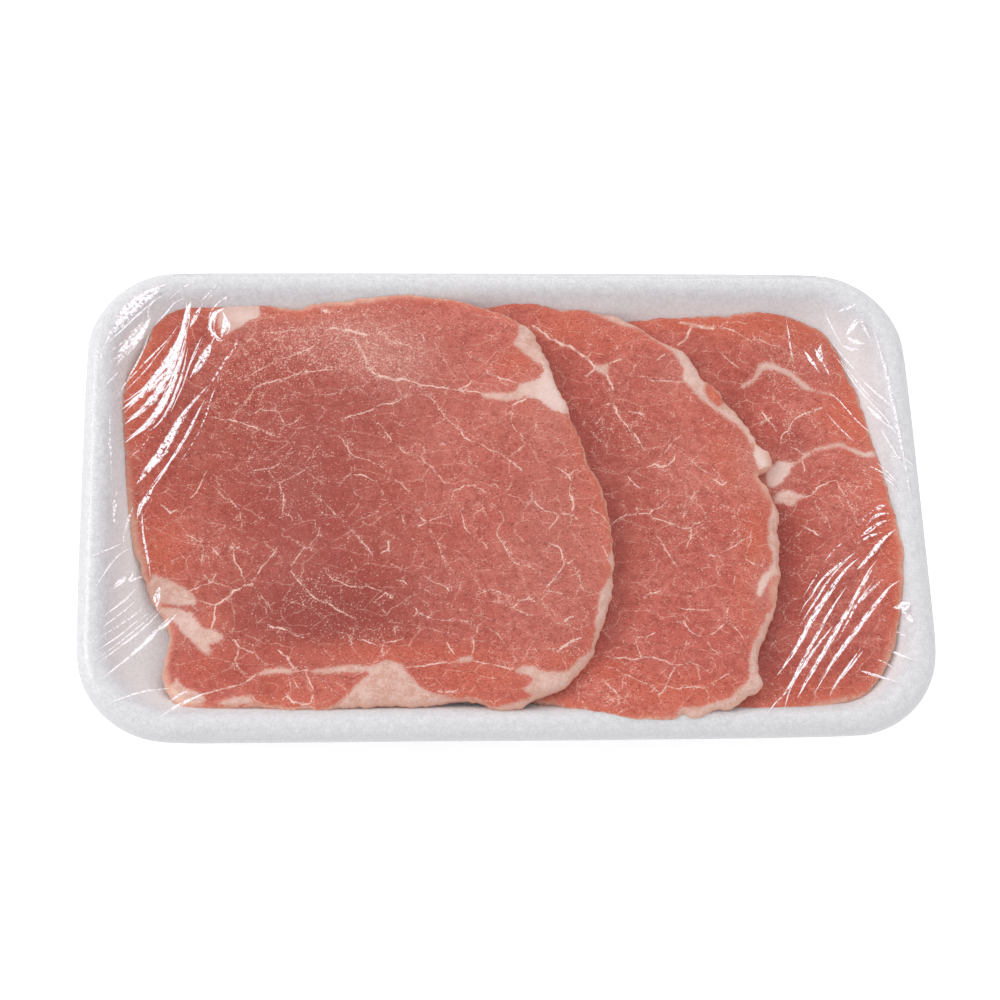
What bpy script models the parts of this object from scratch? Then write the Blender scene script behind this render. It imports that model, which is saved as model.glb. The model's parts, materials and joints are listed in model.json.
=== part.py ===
"""Meat tray pack: three raw pork slices, shingled in a foam tray under clear stretch film.

The origin is the middle of the pack's underside. +X runs along the long side, +Y from the
front long side to the back one, +Z up. Sizes and outlines below are in millimetres.
"""

import math

import bmesh
import bpy
import numpy as np
from mathutils import Vector
from mathutils.bvhtree import BVHTree

MM = 0.001

# Foam tray: outer size over the rim, plan corner radius, wall thickness
TRAY_LENGTH = 225.0
TRAY_WIDTH = 135.0
TRAY_RADIUS = 25.0
TRAY_WALL = 3.3
TRAY_FLOOR = 3.9
CORNER_TIGHTENING = 0.6   # how much a corner's radius shrinks for each unit of inset
# Upper surface from the rolled lip to the floor: (inset from the outer edge, height)
TRAY_PROFILE = [
    (0.0, 15.6), (0.8, 18.2), (2.6, 19.7), (4.6, 20.0), (6.8, 18.9),
    (9.0, 15.9), (12.2, 10.2), (15.0, 6.5), (18.2, 4.6), (22.0, TRAY_FLOOR),
]
CORNER_STEPS = 7
LONG_STEPS = 12
SHORT_STEPS = 6

# Meat
SLICE_THICKNESS = 5.6
SLICE_THIN = (0.5, 0.85)  # share of the thickness left at a slice's edge, and one ring inside it
SLICE_EDGE = 1.1          # rounding of a slice's cut edge
SLICE_EDGE_SEGMENTS = 2
SLICE_EDGE_ANGLE = 55.0   # degrees between faces from which an edge is rounded
SLICE_STEPS = 40          # points round an outline
SLICE_RINGS = (3.0, 4.5)  # rings that follow the outline, inside it
SLICE_CELL = 12.0         # grid across the rest
SLICE_BEND = 1 / 45.0     # how sharply a slice sags between the things it lies on
SLICE_GAP = 0.5

# Outlines, counter-clockwise from the right-hand side
LEFT_OUTLINE = [
    (28.3, -17), (26.8, -3), (22.4, 11), (18, 26), (12.5, 42), (4, 53), (-11, 58), (-28, 59.8),
    (-57, 57.3), (-79, 57.4), (-93, 53.3), (-101, 40), (-103, 30), (-101, 8), (-97.5, -17),
    (-91, -33), (-88.7, -48), (-83, -57.5), (-66, -58.3), (-47, -59.4), (-28, -58.4), (-14, -57.5),
    (-1, -60), (13, -54.3), (22, -43.5), (27.4, -29),
]
MIDDLE_OUTLINE = [
    (74.6, -10), (74.2, 2), (73.6, 14), (65.5, 26.5), (55, 37), (45, 48.8), (31, 54.8), (9, 58.6),
    (-8, 56.5), (-26, 50), (-42, 38), (-51, 20), (-53, -2), (-48, -24), (-35, -42), (-16, -52),
    (8, -56.8), (31, -61.2), (51, -59.4), (66.4, -52.5), (69, -40), (72.4, -27),
]
RIGHT_OUTLINE = [
    (106.2, -17), (103.8, 1), (100.9, 20), (96, 39), (87, 54), (73, 57.5), (53, 56), (34, 54.5),
    (14, 47), (-3, 33), (-13, 15), (-15, -4), (-11, -24), (3, -41), (21, -50), (40, -55.5),
    (60, -59.2), (80, -58.4), (93, -54.4), (101.4, -41.5), (104.8, -28),
]

# Stretch film
FILM_THICKNESS = 0.2
FILM_GAP = 0.5
FILM_OVERHANG = 0.6       # how far it stands outside the rim
FILM_SHOULDER = 15.0      # height at which it turns down the side
FILM_RINGS = (1.2, 2.2, 2.5)
FILM_CELL = 12.5
FILM_BASE_INSET = 16.0    # where it turns under the tray
FILM_BASE = 0.2           # height of its inner face under the tray
SEAM_SCALE = (0.45, 0.012)  # size of the open seam as a share of the turned-under edge, along X and Y

CURVE_STEPS = 12          # steps between two outline points when their curve is measured
CUT_SNAP = 0.2            # a grid line this close to a corner passes through it
FREE_SHARE = 0.5          # least share of a spot that its movable corners carry
RELAX_STEPS = 500
LIFT_ROUNDS = 6
SAMPLES_PER_SIDE = 8
SKY = 100.0


def start_scene(name):
    """Empty the scene and add the collection that holds the pack."""
    for obj in list(bpy.data.objects):
        bpy.data.objects.remove(obj, do_unlink=True)
    collection = bpy.data.collections.new(name)
    bpy.context.scene.collection.children.link(collection)
    return collection


def make_material(name, color, roughness, alpha=1.0):
    """A plain finish for one piece."""
    material = bpy.data.materials.new(name)
    material.use_nodes = True
    shader = material.node_tree.nodes["Principled BSDF"]
    shader.inputs["Base Color"].default_value = (*color, 1.0)
    shader.inputs["Roughness"].default_value = roughness
    shader.inputs["Metallic"].default_value = 0.0
    shader.inputs["Alpha"].default_value = alpha
    material.diffuse_color = (*color, alpha)
    return material


def finish_object(name, bm, collection, material, thickness, outward):
    """Turn an open surface, in millimetres, into a named solid wall."""
    bmesh.ops.scale(bm, vec=(MM, MM, MM), verts=bm.verts)
    mesh = bpy.data.meshes.new(name)
    bm.to_mesh(mesh)
    bm.free()
    mesh.materials.append(material)
    mesh.shade_smooth()
    obj = bpy.data.objects.new(name, mesh)
    collection.objects.link(obj)
    wall = obj.modifiers.new("Wall", "SOLIDIFY")
    wall.thickness = thickness * MM
    wall.offset = outward
    wall.use_even_offset = False
    return obj


def rounded_rectangle(length, width, radius):
    """Points round a rounded rectangle, counter-clockwise, arcs and straight sides alike."""
    middle_x = length / 2 - radius
    middle_y = width / 2 - radius
    corners = [(middle_x, middle_y), (-middle_x, middle_y), (-middle_x, -middle_y), (middle_x, -middle_y)]
    points = []
    for turn, (x, y) in enumerate(corners):
        for step in range(CORNER_STEPS + 1):
            angle = math.pi / 2 * (turn + step / CORNER_STEPS)
            points.append((x + radius * math.cos(angle), y + radius * math.sin(angle)))
        steps = LONG_STEPS if turn % 2 == 0 else SHORT_STEPS
        start = points[-1]
        next_x, next_y = corners[(turn + 1) % 4]
        next_angle = math.pi / 2 * (turn + 1)
        end = (next_x + radius * math.cos(next_angle), next_y + radius * math.sin(next_angle))
        for step in range(1, steps):
            part = step / steps
            points.append((start[0] + (end[0] - start[0]) * part, start[1] + (end[1] - start[1]) * part))
    return points


def tray_ring(inset):
    """Points round the tray, at an inset from its outer edge."""
    radius = TRAY_RADIUS - CORNER_TIGHTENING * inset
    return rounded_rectangle(TRAY_LENGTH - 2 * inset, TRAY_WIDTH - 2 * inset, radius)


def edge_loop(bm, points, height):
    """A closed ring of edges."""
    verts = [bm.verts.new((x, y, height)) for x, y in points]
    return [bm.edges.new(pair) for pair in zip(verts, verts[1:] + verts[:1])]


def face_up(bm):
    """Turn the sheet's faces so that its open top is their front."""
    bmesh.ops.recalc_face_normals(bm, faces=bm.faces)
    widest = max(bm.faces, key=lambda face: face.calc_area())
    if widest.normal.z < 0:
        bmesh.ops.reverse_faces(bm, faces=bm.faces)


def make_tray(collection):
    """The foam tray: rings of its upper surface, bridged, its floor filled, then given its wall."""
    bm = bmesh.new()
    rings = [edge_loop(bm, tray_ring(inset), height) for inset, height in TRAY_PROFILE]
    for outer, inner in zip(rings, rings[1:]):
        bmesh.ops.bridge_loops(bm, edges=outer + inner)
    bmesh.ops.contextual_create(bm, geom=rings[-1])
    face_up(bm)
    foam = make_material("white_foam", (0.86, 0.86, 0.87), 0.6)
    return finish_object("tray", bm, collection, foam, TRAY_WALL, -1.0)


def smooth_outline(points, count):
    """A closed curve through the points, cut into steps of equal length."""
    fine = []
    total = len(points)
    for index in range(total):
        before, start, end, after = (Vector(points[(index + shift) % total]) for shift in (-1, 0, 1, 2))
        for step in range(CURVE_STEPS):
            t = step / CURVE_STEPS
            fine.append(0.5 * (2 * start + (end - before) * t
                               + (2 * before - 5 * start + 4 * end - after) * t ** 2
                               + (3 * start - before - 3 * end + after) * t ** 3))
    x = np.array([point.x for point in fine] + [fine[0].x])
    y = np.array([point.y for point in fine] + [fine[0].y])
    along = np.concatenate(([0.0], np.cumsum(np.hypot(np.diff(x), np.diff(y)))))
    marks = np.linspace(0.0, along[-1], count, endpoint=False)
    return list(zip(np.interp(marks, along, x), np.interp(marks, along, y)))


def flat_sheet(outline, rings, cell):
    """A flat sheet: rings that follow its outline, and a square grid across the middle."""
    bm = bmesh.new()
    bmesh.ops.contextual_create(bm, geom=edge_loop(bm, outline, 0.0))
    face_up(bm)
    middle = next(iter(bm.faces))
    for width in rings:
        bmesh.ops.inset_region(bm, faces=[middle], thickness=width, use_boundary=True, use_even_offset=True)
    inner = [middle]
    corners = [vert.co.copy() for vert in middle.verts]
    for axis in range(2):
        low = min(corner[axis] for corner in corners)
        high = max(corner[axis] for corner in corners)
        normal = Vector((1.0 - axis, axis, 0.0))
        for step in range(math.floor(low / cell) + 1, math.ceil(high / cell)):
            spot = normal * (step * cell)
            geometry = set(inner)
            for face in inner:
                geometry.update(face.edges)
                geometry.update(face.verts)
            cut = bmesh.ops.bisect_plane(
                bm, geom=list(geometry), dist=CUT_SNAP, plane_co=spot, plane_no=normal)
            inner = [item for item in cut["geom"] if isinstance(item, bmesh.types.BMFace)]
    bmesh.ops.triangulate(bm, faces=bm.faces, quad_method="BEAUTY", ngon_method="BEAUTY")
    return bm


def height_below(trees, x, y):
    """The highest point of the finished pieces at a place in plan."""
    best = 0.0
    for tree in trees:
        hit = tree.ray_cast(Vector((x * MM, y * MM, SKY * MM)), Vector((0.0, 0.0, -1.0)))
        if hit[0] is not None:
            best = max(best, hit[0].z / MM)
    return best


def settle(bm, trees, gap, bend, fixed):
    """Lay the sheet over the pieces below: stretched where it spans, resting where it meets them."""
    bm.verts.ensure_lookup_table()
    bm.verts.index_update()
    place = np.array([vert.co[:2] for vert in bm.verts])
    floor = np.array([height_below(trees, x, y) + gap for x, y in place])
    pairs = np.array([[vert.index for vert in edge.verts] for edge in bm.edges])
    length = np.linalg.norm(place[pairs[:, 0]] - place[pairs[:, 1]], axis=1)
    pull = 1.0 / length
    total = np.zeros(len(place))
    span = np.zeros(len(place))
    for side in range(2):
        np.add.at(total, pairs[:, side], pull)
        np.add.at(span, pairs[:, side], pull * length ** 2)
    sag = bend * span / total / 4
    held = np.array([vert.is_boundary for vert in bm.verts])
    height = floor.copy()
    height[held] = floor[held] if fixed is None else fixed
    for _ in range(RELAX_STEPS):
        mean = np.zeros(len(place))
        np.add.at(mean, pairs[:, 0], pull * height[pairs[:, 1]])
        np.add.at(mean, pairs[:, 1], pull * height[pairs[:, 0]])
        height = np.where(held, height, np.maximum(floor, mean / total - sag))
    for vert in bm.verts:
        vert.co.z = height[vert.index]


def lift_clear(bm, trees, gap, fixed):
    """Raise the sheet wherever one of its flat faces would cut into a piece below it."""
    steps = range(SAMPLES_PER_SIDE + 1)
    shares = [(1 - (a + b) / SAMPLES_PER_SIDE, a / SAMPLES_PER_SIDE, b / SAMPLES_PER_SIDE)
              for a in steps for b in steps if a + b <= SAMPLES_PER_SIDE]
    spots = []
    for face in bm.faces:
        for share in shares:
            spot = sum((vert.co * part for vert, part in zip(face.verts, share)), Vector())
            free = sum(part for vert, part in zip(face.verts, share) if not (fixed and vert.is_boundary))
            if free > FREE_SHARE:
                spots.append((face.verts, share, height_below(trees, spot.x, spot.y) + gap))
    for _ in range(LIFT_ROUNDS):
        for verts, share, least in spots:
            lack = least - sum(vert.co.z * part for vert, part in zip(verts, share))
            if lack > 0:
                for vert, part in zip(verts, share):
                    if not (fixed and vert.is_boundary):
                        vert.co.z += lack * part / sum(part ** 2 for part in share)


def solid_tree(obj):
    """A search tree of a finished piece, as its modifiers leave it."""
    return BVHTree.FromObject(obj, bpy.context.evaluated_depsgraph_get())


def make_slice(name, outline, trees, collection, material):
    """One slice of meat, laid over the tray and the slices already in it."""
    bm = flat_sheet(smooth_outline(outline, SLICE_STEPS), SLICE_RINGS, SLICE_CELL)
    settle(bm, trees, SLICE_GAP, SLICE_BEND, None)
    lift_clear(bm, trees, SLICE_GAP, False)
    weight = bm.verts.layers.deform.verify()
    for vert in bm.verts:
        near_edge = any(edge.other_vert(vert).is_boundary for edge in vert.link_edges)
        vert[weight][0] = SLICE_THIN[0] if vert.is_boundary else SLICE_THIN[1] if near_edge else 1.0
    obj = finish_object(name, bm, collection, material, SLICE_THICKNESS, 1.0)
    obj.vertex_groups.new(name="Thickness")
    obj.modifiers["Wall"].vertex_group = "Thickness"
    edge = obj.modifiers.new("Edge", "BEVEL")
    edge.width = SLICE_EDGE * MM
    edge.segments = SLICE_EDGE_SEGMENTS
    edge.limit_method = "ANGLE"
    edge.angle_limit = math.radians(SLICE_EDGE_ANGLE)
    return obj


def make_film(trees, collection):
    """The stretch film: taut over rim and meat, down the sides, and folded under to a seam."""
    bm = flat_sheet(tray_ring(-FILM_OVERHANG), FILM_RINGS, FILM_CELL)
    settle(bm, trees, FILM_GAP, 0.0, FILM_SHOULDER)
    lift_clear(bm, trees, FILM_GAP, True)
    shoulder = [edge for edge in bm.edges if edge.is_boundary]
    base_points = tray_ring(FILM_BASE_INSET)
    base = edge_loop(bm, base_points, FILM_BASE)
    seam = edge_loop(bm, [(x * SEAM_SCALE[0], y * SEAM_SCALE[1]) for x, y in base_points], FILM_BASE)
    bmesh.ops.bridge_loops(bm, edges=shoulder + base)
    bmesh.ops.bridge_loops(bm, edges=base + seam)
    bmesh.ops.recalc_face_normals(bm, faces=bm.faces)
    top = max(bm.faces, key=lambda face: face.calc_center_median().z)
    if top.normal.z < 0:
        bmesh.ops.reverse_faces(bm, faces=bm.faces)
    clear = make_material("clear_film", (0.92, 0.94, 0.95), 0.1, alpha=0.25)
    return finish_object("film", bm, collection, clear, FILM_THICKNESS, 1.0)


def main():
    collection = start_scene("meat_tray_pack")
    pork = make_material("raw_pork", (0.62, 0.16, 0.11), 0.4)
    trees = [solid_tree(make_tray(collection))]
    bottom_up = [
        ("slice_right", RIGHT_OUTLINE),
        ("slice_middle", MIDDLE_OUTLINE),
        ("slice_left", LEFT_OUTLINE),
    ]
    for name, outline in bottom_up:
        trees.append(solid_tree(make_slice(name, outline, trees, collection, pork)))
    make_film(trees, collection)


main()
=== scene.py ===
"""Looks of the meat tray pack: pork slices in a foam tray under drawn stretch film.

Plans, outlines and markings are in millimetres, in the frame's own X and Y.
"""

import json
import math
import random

import bmesh
import bpy
import numpy as np
from mathutils import Matrix, Vector, noise
from mathutils.bvhtree import BVHTree
from mathutils.kdtree import KDTree

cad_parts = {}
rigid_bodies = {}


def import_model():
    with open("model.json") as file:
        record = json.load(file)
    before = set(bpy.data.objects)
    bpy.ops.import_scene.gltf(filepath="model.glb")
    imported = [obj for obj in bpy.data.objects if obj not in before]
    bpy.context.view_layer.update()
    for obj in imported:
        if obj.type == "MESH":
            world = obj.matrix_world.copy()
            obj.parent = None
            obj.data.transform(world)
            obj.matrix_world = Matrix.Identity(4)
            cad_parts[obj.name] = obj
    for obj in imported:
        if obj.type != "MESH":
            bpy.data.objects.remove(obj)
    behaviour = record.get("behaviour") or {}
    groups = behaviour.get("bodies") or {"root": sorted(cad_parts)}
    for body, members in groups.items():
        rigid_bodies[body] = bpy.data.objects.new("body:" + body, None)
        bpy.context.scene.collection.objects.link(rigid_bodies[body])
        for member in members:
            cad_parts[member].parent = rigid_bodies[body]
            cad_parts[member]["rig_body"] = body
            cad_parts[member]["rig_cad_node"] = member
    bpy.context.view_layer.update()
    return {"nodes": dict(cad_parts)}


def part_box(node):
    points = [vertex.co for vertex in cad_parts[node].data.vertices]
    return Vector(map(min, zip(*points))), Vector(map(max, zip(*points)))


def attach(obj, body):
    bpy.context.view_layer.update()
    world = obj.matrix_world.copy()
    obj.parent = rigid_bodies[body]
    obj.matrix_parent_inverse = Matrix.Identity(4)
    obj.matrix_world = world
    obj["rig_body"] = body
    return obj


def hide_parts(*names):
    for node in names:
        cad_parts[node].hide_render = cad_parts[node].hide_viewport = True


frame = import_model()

MM = 0.001
CORNER_RADIUS = 25.0                 # of the tray's plan, at its edge
CORNER_EASE = 0.6                    # how much the radius shrinks with each millimetre inward
ARC_MIDDLE = 0.29                    # from a corner's sides to its arc's middle, in radii
SKEW_X, SKEW_Y = 0.005, 0.002        # a light foam tray is a little out of square

# ---------------------------------------------------------------- camera and sight line

VIEW_TILT = math.radians(67.009)     # the camera's angle over the table
VIEW_TURN = math.radians(-9.514)     # its turn to the pack's left
VIEW_ROLL = math.radians(8.513)
VIEW_DISTANCE = 643.0                # from the middle of the pack, at rim height
VIEW_LENS = 86.58
VIEW_SHIFT = (-0.00544, -0.00362)
RIM_HEIGHT = 17.6                    # the height at which outlines and markings are laid out


def view_axes():
    """Right, up and back directions of the camera."""
    back = Vector((math.sin(VIEW_TURN) * math.cos(VIEW_TILT),
                   -math.cos(VIEW_TURN) * math.cos(VIEW_TILT), math.sin(VIEW_TILT)))
    right = (-back).cross(Vector((0, 0, 1))).normalized()
    up = right.cross(-back)
    turned_right = right * math.cos(VIEW_ROLL) + up * math.sin(VIEW_ROLL)
    turned_up = up * math.cos(VIEW_ROLL) - right * math.sin(VIEW_ROLL)
    return turned_right, turned_up, back


def eye_place():
    """The camera's place, in millimetres."""
    return view_axes()[2] * VIEW_DISTANCE + Vector((0, 0, RIM_HEIGHT))


def place_camera():
    """The camera, aimed along the sight line."""
    data = bpy.data.cameras.new("camera")
    data.lens = VIEW_LENS
    data.shift_x, data.shift_y = VIEW_SHIFT
    camera = bpy.data.objects.new("camera", data)
    bpy.context.scene.collection.objects.link(camera)
    turn = Matrix(view_axes()).transposed().to_4x4()
    camera.matrix_world = Matrix.Translation(eye_place() * MM) @ turn
    bpy.context.scene.camera = camera


def rim_plan(x, y, z):
    """Where a place, seen along the sight line, falls on the plan at rim height."""
    eye = eye_place()
    reach = (eye.z - RIM_HEIGHT) / (eye.z - z)
    return eye.x + (x - eye.x) * reach, eye.y + (y - eye.y) * reach


def under_plan(x, y, z):
    """The place at height z behind a place on the plan at rim height."""
    eye = eye_place()
    reach = (eye.z - z) / (eye.z - RIM_HEIGHT)
    return eye.x + (x - eye.x) * reach, eye.y + (y - eye.y) * reach


# ---------------------------------------------------------------- nodes

def node(tree, kind, sockets=None, **settings):
    """A node with its settings, its sockets linked or set."""
    made = tree.nodes.new(kind)
    for key, value in settings.items():
        setattr(made, key, value)
    for key, value in (sockets or {}).items():
        if isinstance(value, bpy.types.NodeSocket):
            tree.links.new(value, made.inputs[key])
        else:
            made.inputs[key].default_value = value
    return made


def maths(tree, operation, *values):
    made = node(tree, "ShaderNodeMath", dict(enumerate(values)), operation=operation)
    return made.outputs[0]


def times(tree, first, second):
    return maths(tree, "MULTIPLY", first, second)


def ramp(tree, value, low, high, start=0.0, end=1.0, smooth=True):
    """From start to end as the value goes from low to high, and level beyond."""
    kind = "SMOOTHSTEP" if smooth else "LINEAR"
    sockets = {"Value": value, "From Min": low, "From Max": high, "To Min": start, "To Max": end}
    return node(tree, "ShaderNodeMapRange", sockets, interpolation_type=kind).outputs[0]


def blend(tree, share, first, second):
    """From the first colour to the second."""
    sockets = {0: share, 6: first, 7: second}
    return node(tree, "ShaderNodeMix", sockets, data_type="RGBA").outputs[2]


def wash(tree, base, mask, strength, colour):
    """The base with a colour laid over it where the mask is, up to that strength."""
    return blend(tree, times(tree, mask, strength), base, colour)


def grain(tree, vector, scale, detail=2.0, roughness=0.5):
    """Noise with that many patches to the unit and that many finer sizes on them."""
    sockets = {"Vector": vector, "Scale": scale, "Detail": detail, "Roughness": roughness}
    return node(tree, "ShaderNodeTexNoise", sockets).outputs[0]


def cell_seams(tree, vector, scale, dimensions="3D"):
    """How far a place is from the nearest seam between cells, in cells."""
    return node(tree, "ShaderNodeTexVoronoi", {"Vector": vector, "Scale": scale},
                feature="DISTANCE_TO_EDGE", voronoi_dimensions=dimensions).outputs["Distance"]


def attribute_parts(tree, name):
    """The three numbers that a piece's places carry under one name."""
    mark = node(tree, "ShaderNodeAttribute", attribute_name=name).outputs["Vector"]
    return node(tree, "ShaderNodeSeparateXYZ", {0: mark}).outputs[:3]


def vector_of(tree, x, y, z=0.0):
    return node(tree, "ShaderNodeCombineXYZ", {0: x, 1: y, 2: z}).outputs[0]


def millimetres(tree):
    """Object coordinates in millimetres."""
    place = node(tree, "ShaderNodeTexCoord").outputs["Object"]
    sockets = {0: place, "Scale": 1 / MM}
    return node(tree, "ShaderNodeVectorMath", sockets, operation="SCALE").outputs[0]


def relief(tree, height, distance, strength=0.5):
    """Normals for a height whose full rise is a distance in metres."""
    sockets = {"Height": height, "Distance": distance, "Strength": strength}
    return node(tree, "ShaderNodeBump", sockets).outputs[0]


def paint(red, green, blue):
    """A colour from its display values, 0 to 255."""
    def linear(value):
        value /= 255.0
        return value / 12.92 if value <= 0.04045 else ((value + 0.055) / 1.055) ** 2.4
    return (linear(red), linear(green), linear(blue), 1.0)


def new_material(name):
    material = bpy.data.materials.new(name)
    material.use_nodes = True
    material.node_tree.nodes.clear()
    return material, material.node_tree


def finish_with(tree, shader):
    finish = node(tree, "ShaderNodeOutputMaterial")
    tree.links.new(shader.outputs[0], finish.inputs["Surface"])


def new_group(name, inputs, outputs):
    """An empty node group with its sockets: (name, kind, default) in and (name, kind) out."""
    group = bpy.data.node_groups.new(name, "ShaderNodeTree")
    for label, kind, default in inputs:
        socket = group.interface.new_socket(label, in_out="INPUT", socket_type=kind)
        if default is not None:
            socket.default_value = default
    for label, kind in outputs:
        group.interface.new_socket(label, in_out="OUTPUT", socket_type=kind)
    given = group.nodes.new("NodeGroupInput").outputs
    return group, given, group.nodes.new("NodeGroupOutput").inputs


def speckle_group():
    """Small round spots strewn through a body, some of the cells left bare."""
    group, given, out = new_group(
        "strewn_spots",
        [("Vector", "NodeSocketVector", None), ("Spacing", "NodeSocketFloat", 1.0),
         ("Radius", "NodeSocketFloat", 0.18), ("Bare", "NodeSocketFloat", 0.5)],
        [("Spots", "NodeSocketFloat")])
    scale = maths(group, "DIVIDE", 1.0, given["Spacing"])
    spot = node(group, "ShaderNodeTexVoronoi", {"Vector": given["Vector"], "Scale": scale})
    chance = node(group, "ShaderNodeSeparateColor", {0: spot.outputs["Color"]}).outputs
    reach = times(group, given["Radius"], maths(group, "ADD", 0.5, chance[1]))
    inner = times(group, reach, 0.4)
    round_mask = ramp(group, spot.outputs["Distance"], inner, reach, 1.0, 0.0)
    chosen = maths(group, "GREATER_THAN", chance[0], given["Bare"])
    group.links.new(times(group, round_mask, chosen), out["Spots"])
    return group


def mottle_group():
    """Soft patches at two sizes, together and the fine ones alone."""
    group, given, out = new_group(
        "mottle",
        [("Vector", "NodeSocketVector", None), ("Coarse", "NodeSocketFloat", 10.0),
         ("Fine", "NodeSocketFloat", 1.0), ("Fine Share", "NodeSocketFloat", 0.5)],
        [("Value", "NodeSocketFloat"), ("Fine Value", "NodeSocketFloat")])
    coarse = grain(group, given["Vector"], maths(group, "DIVIDE", 1.0, given["Coarse"]), detail=3.0)
    fine = grain(group, given["Vector"], maths(group, "DIVIDE", 1.0, given["Fine"]),
                 detail=3.0, roughness=0.6)
    both = node(group, "ShaderNodeMix", {0: given["Fine Share"], 2: coarse, 3: fine}).outputs[0]
    group.links.new(both, out["Value"])
    group.links.new(fine, out["Fine Value"])
    return group


SPOTS = speckle_group()
MOTTLE = mottle_group()


def spots(tree, vector, spacing, radius, bare):
    """Spots of a radius in cells, the cells that far apart, a share of them bare."""
    sockets = {"Vector": vector, "Spacing": spacing, "Radius": radius, "Bare": bare}
    return node(tree, "ShaderNodeGroup", sockets, node_tree=SPOTS).outputs["Spots"]


def mottle(tree, vector, coarse, fine, share):
    """Patches of a coarse and a fine size in millimetres, with the fine ones' share."""
    sockets = {"Vector": vector, "Coarse": coarse, "Fine": fine, "Fine Share": share}
    return node(tree, "ShaderNodeGroup", sockets, node_tree=MOTTLE).outputs


# ---------------------------------------------------------------- materials

LEAN_DEEP = paint(201, 99, 85)
LEAN_LIGHT = paint(212, 117, 103)
LEAN_BROWN = paint(150, 59, 49)
LEAN_WARM = paint(216, 106, 80)
LEAN_FROSTED = paint(212, 142, 130)
LEAN_PAINTED_SHADOW = paint(152, 56, 44)
LEAN_THIN = paint(222, 114, 86)
BUNDLE_SHADOW = paint(166, 70, 58)
FIBRE_SHADOW = paint(130, 44, 34)
PALE_GRAIN_AND_GLINT = paint(246, 204, 188)
VEIN = paint(244, 206, 192)
FINE_VEIN = paint(240, 194, 178)
FAT_DEEP = paint(212, 160, 143)
FAT_LIGHT = paint(226, 184, 171)
FAT_WHITE = paint(244, 216, 208)
FAT_GRAIN = paint(242, 220, 213)
RIM_LEAN = paint(224, 150, 126)
RIM_FAT = paint(240, 200, 178)
RIM_PAINTED_HIGHLIGHT = paint(238, 190, 168)
RIM_SIDE_PAINTED_LIGHT = paint(216, 132, 108)

FOAM_DEEP = paint(218, 217, 220)
FOAM_LIGHT = paint(229, 228, 231)
FOAM_WELL_PAINTED_LIGHT = paint(238, 236, 238)
FOAM_LIP_SHADE = paint(214, 214, 217)
FOAM_SEAM = paint(190, 191, 196)
FOAM_SPECK_AND_GLINT = paint(250, 250, 252)

MILKY_GLARE = paint(255, 255, 255)
PINK_MILKY_GLARE = paint(255, 232, 246)
TABLE_DEEP = paint(250, 250, 250)
TABLE_LIGHT = paint(254, 254, 254)

BUNDLE_TURN = 0.65                   # how the muscle's bundles lie across the slice, in radians
BUNDLE_STRETCH = (1.5, 2.6, 2.0)     # how much finer the grain is along each axis
FINE_VEIN_DRIFT = (4.5, 6.0, 0.0)    # how far the finest marbling strays


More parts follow.
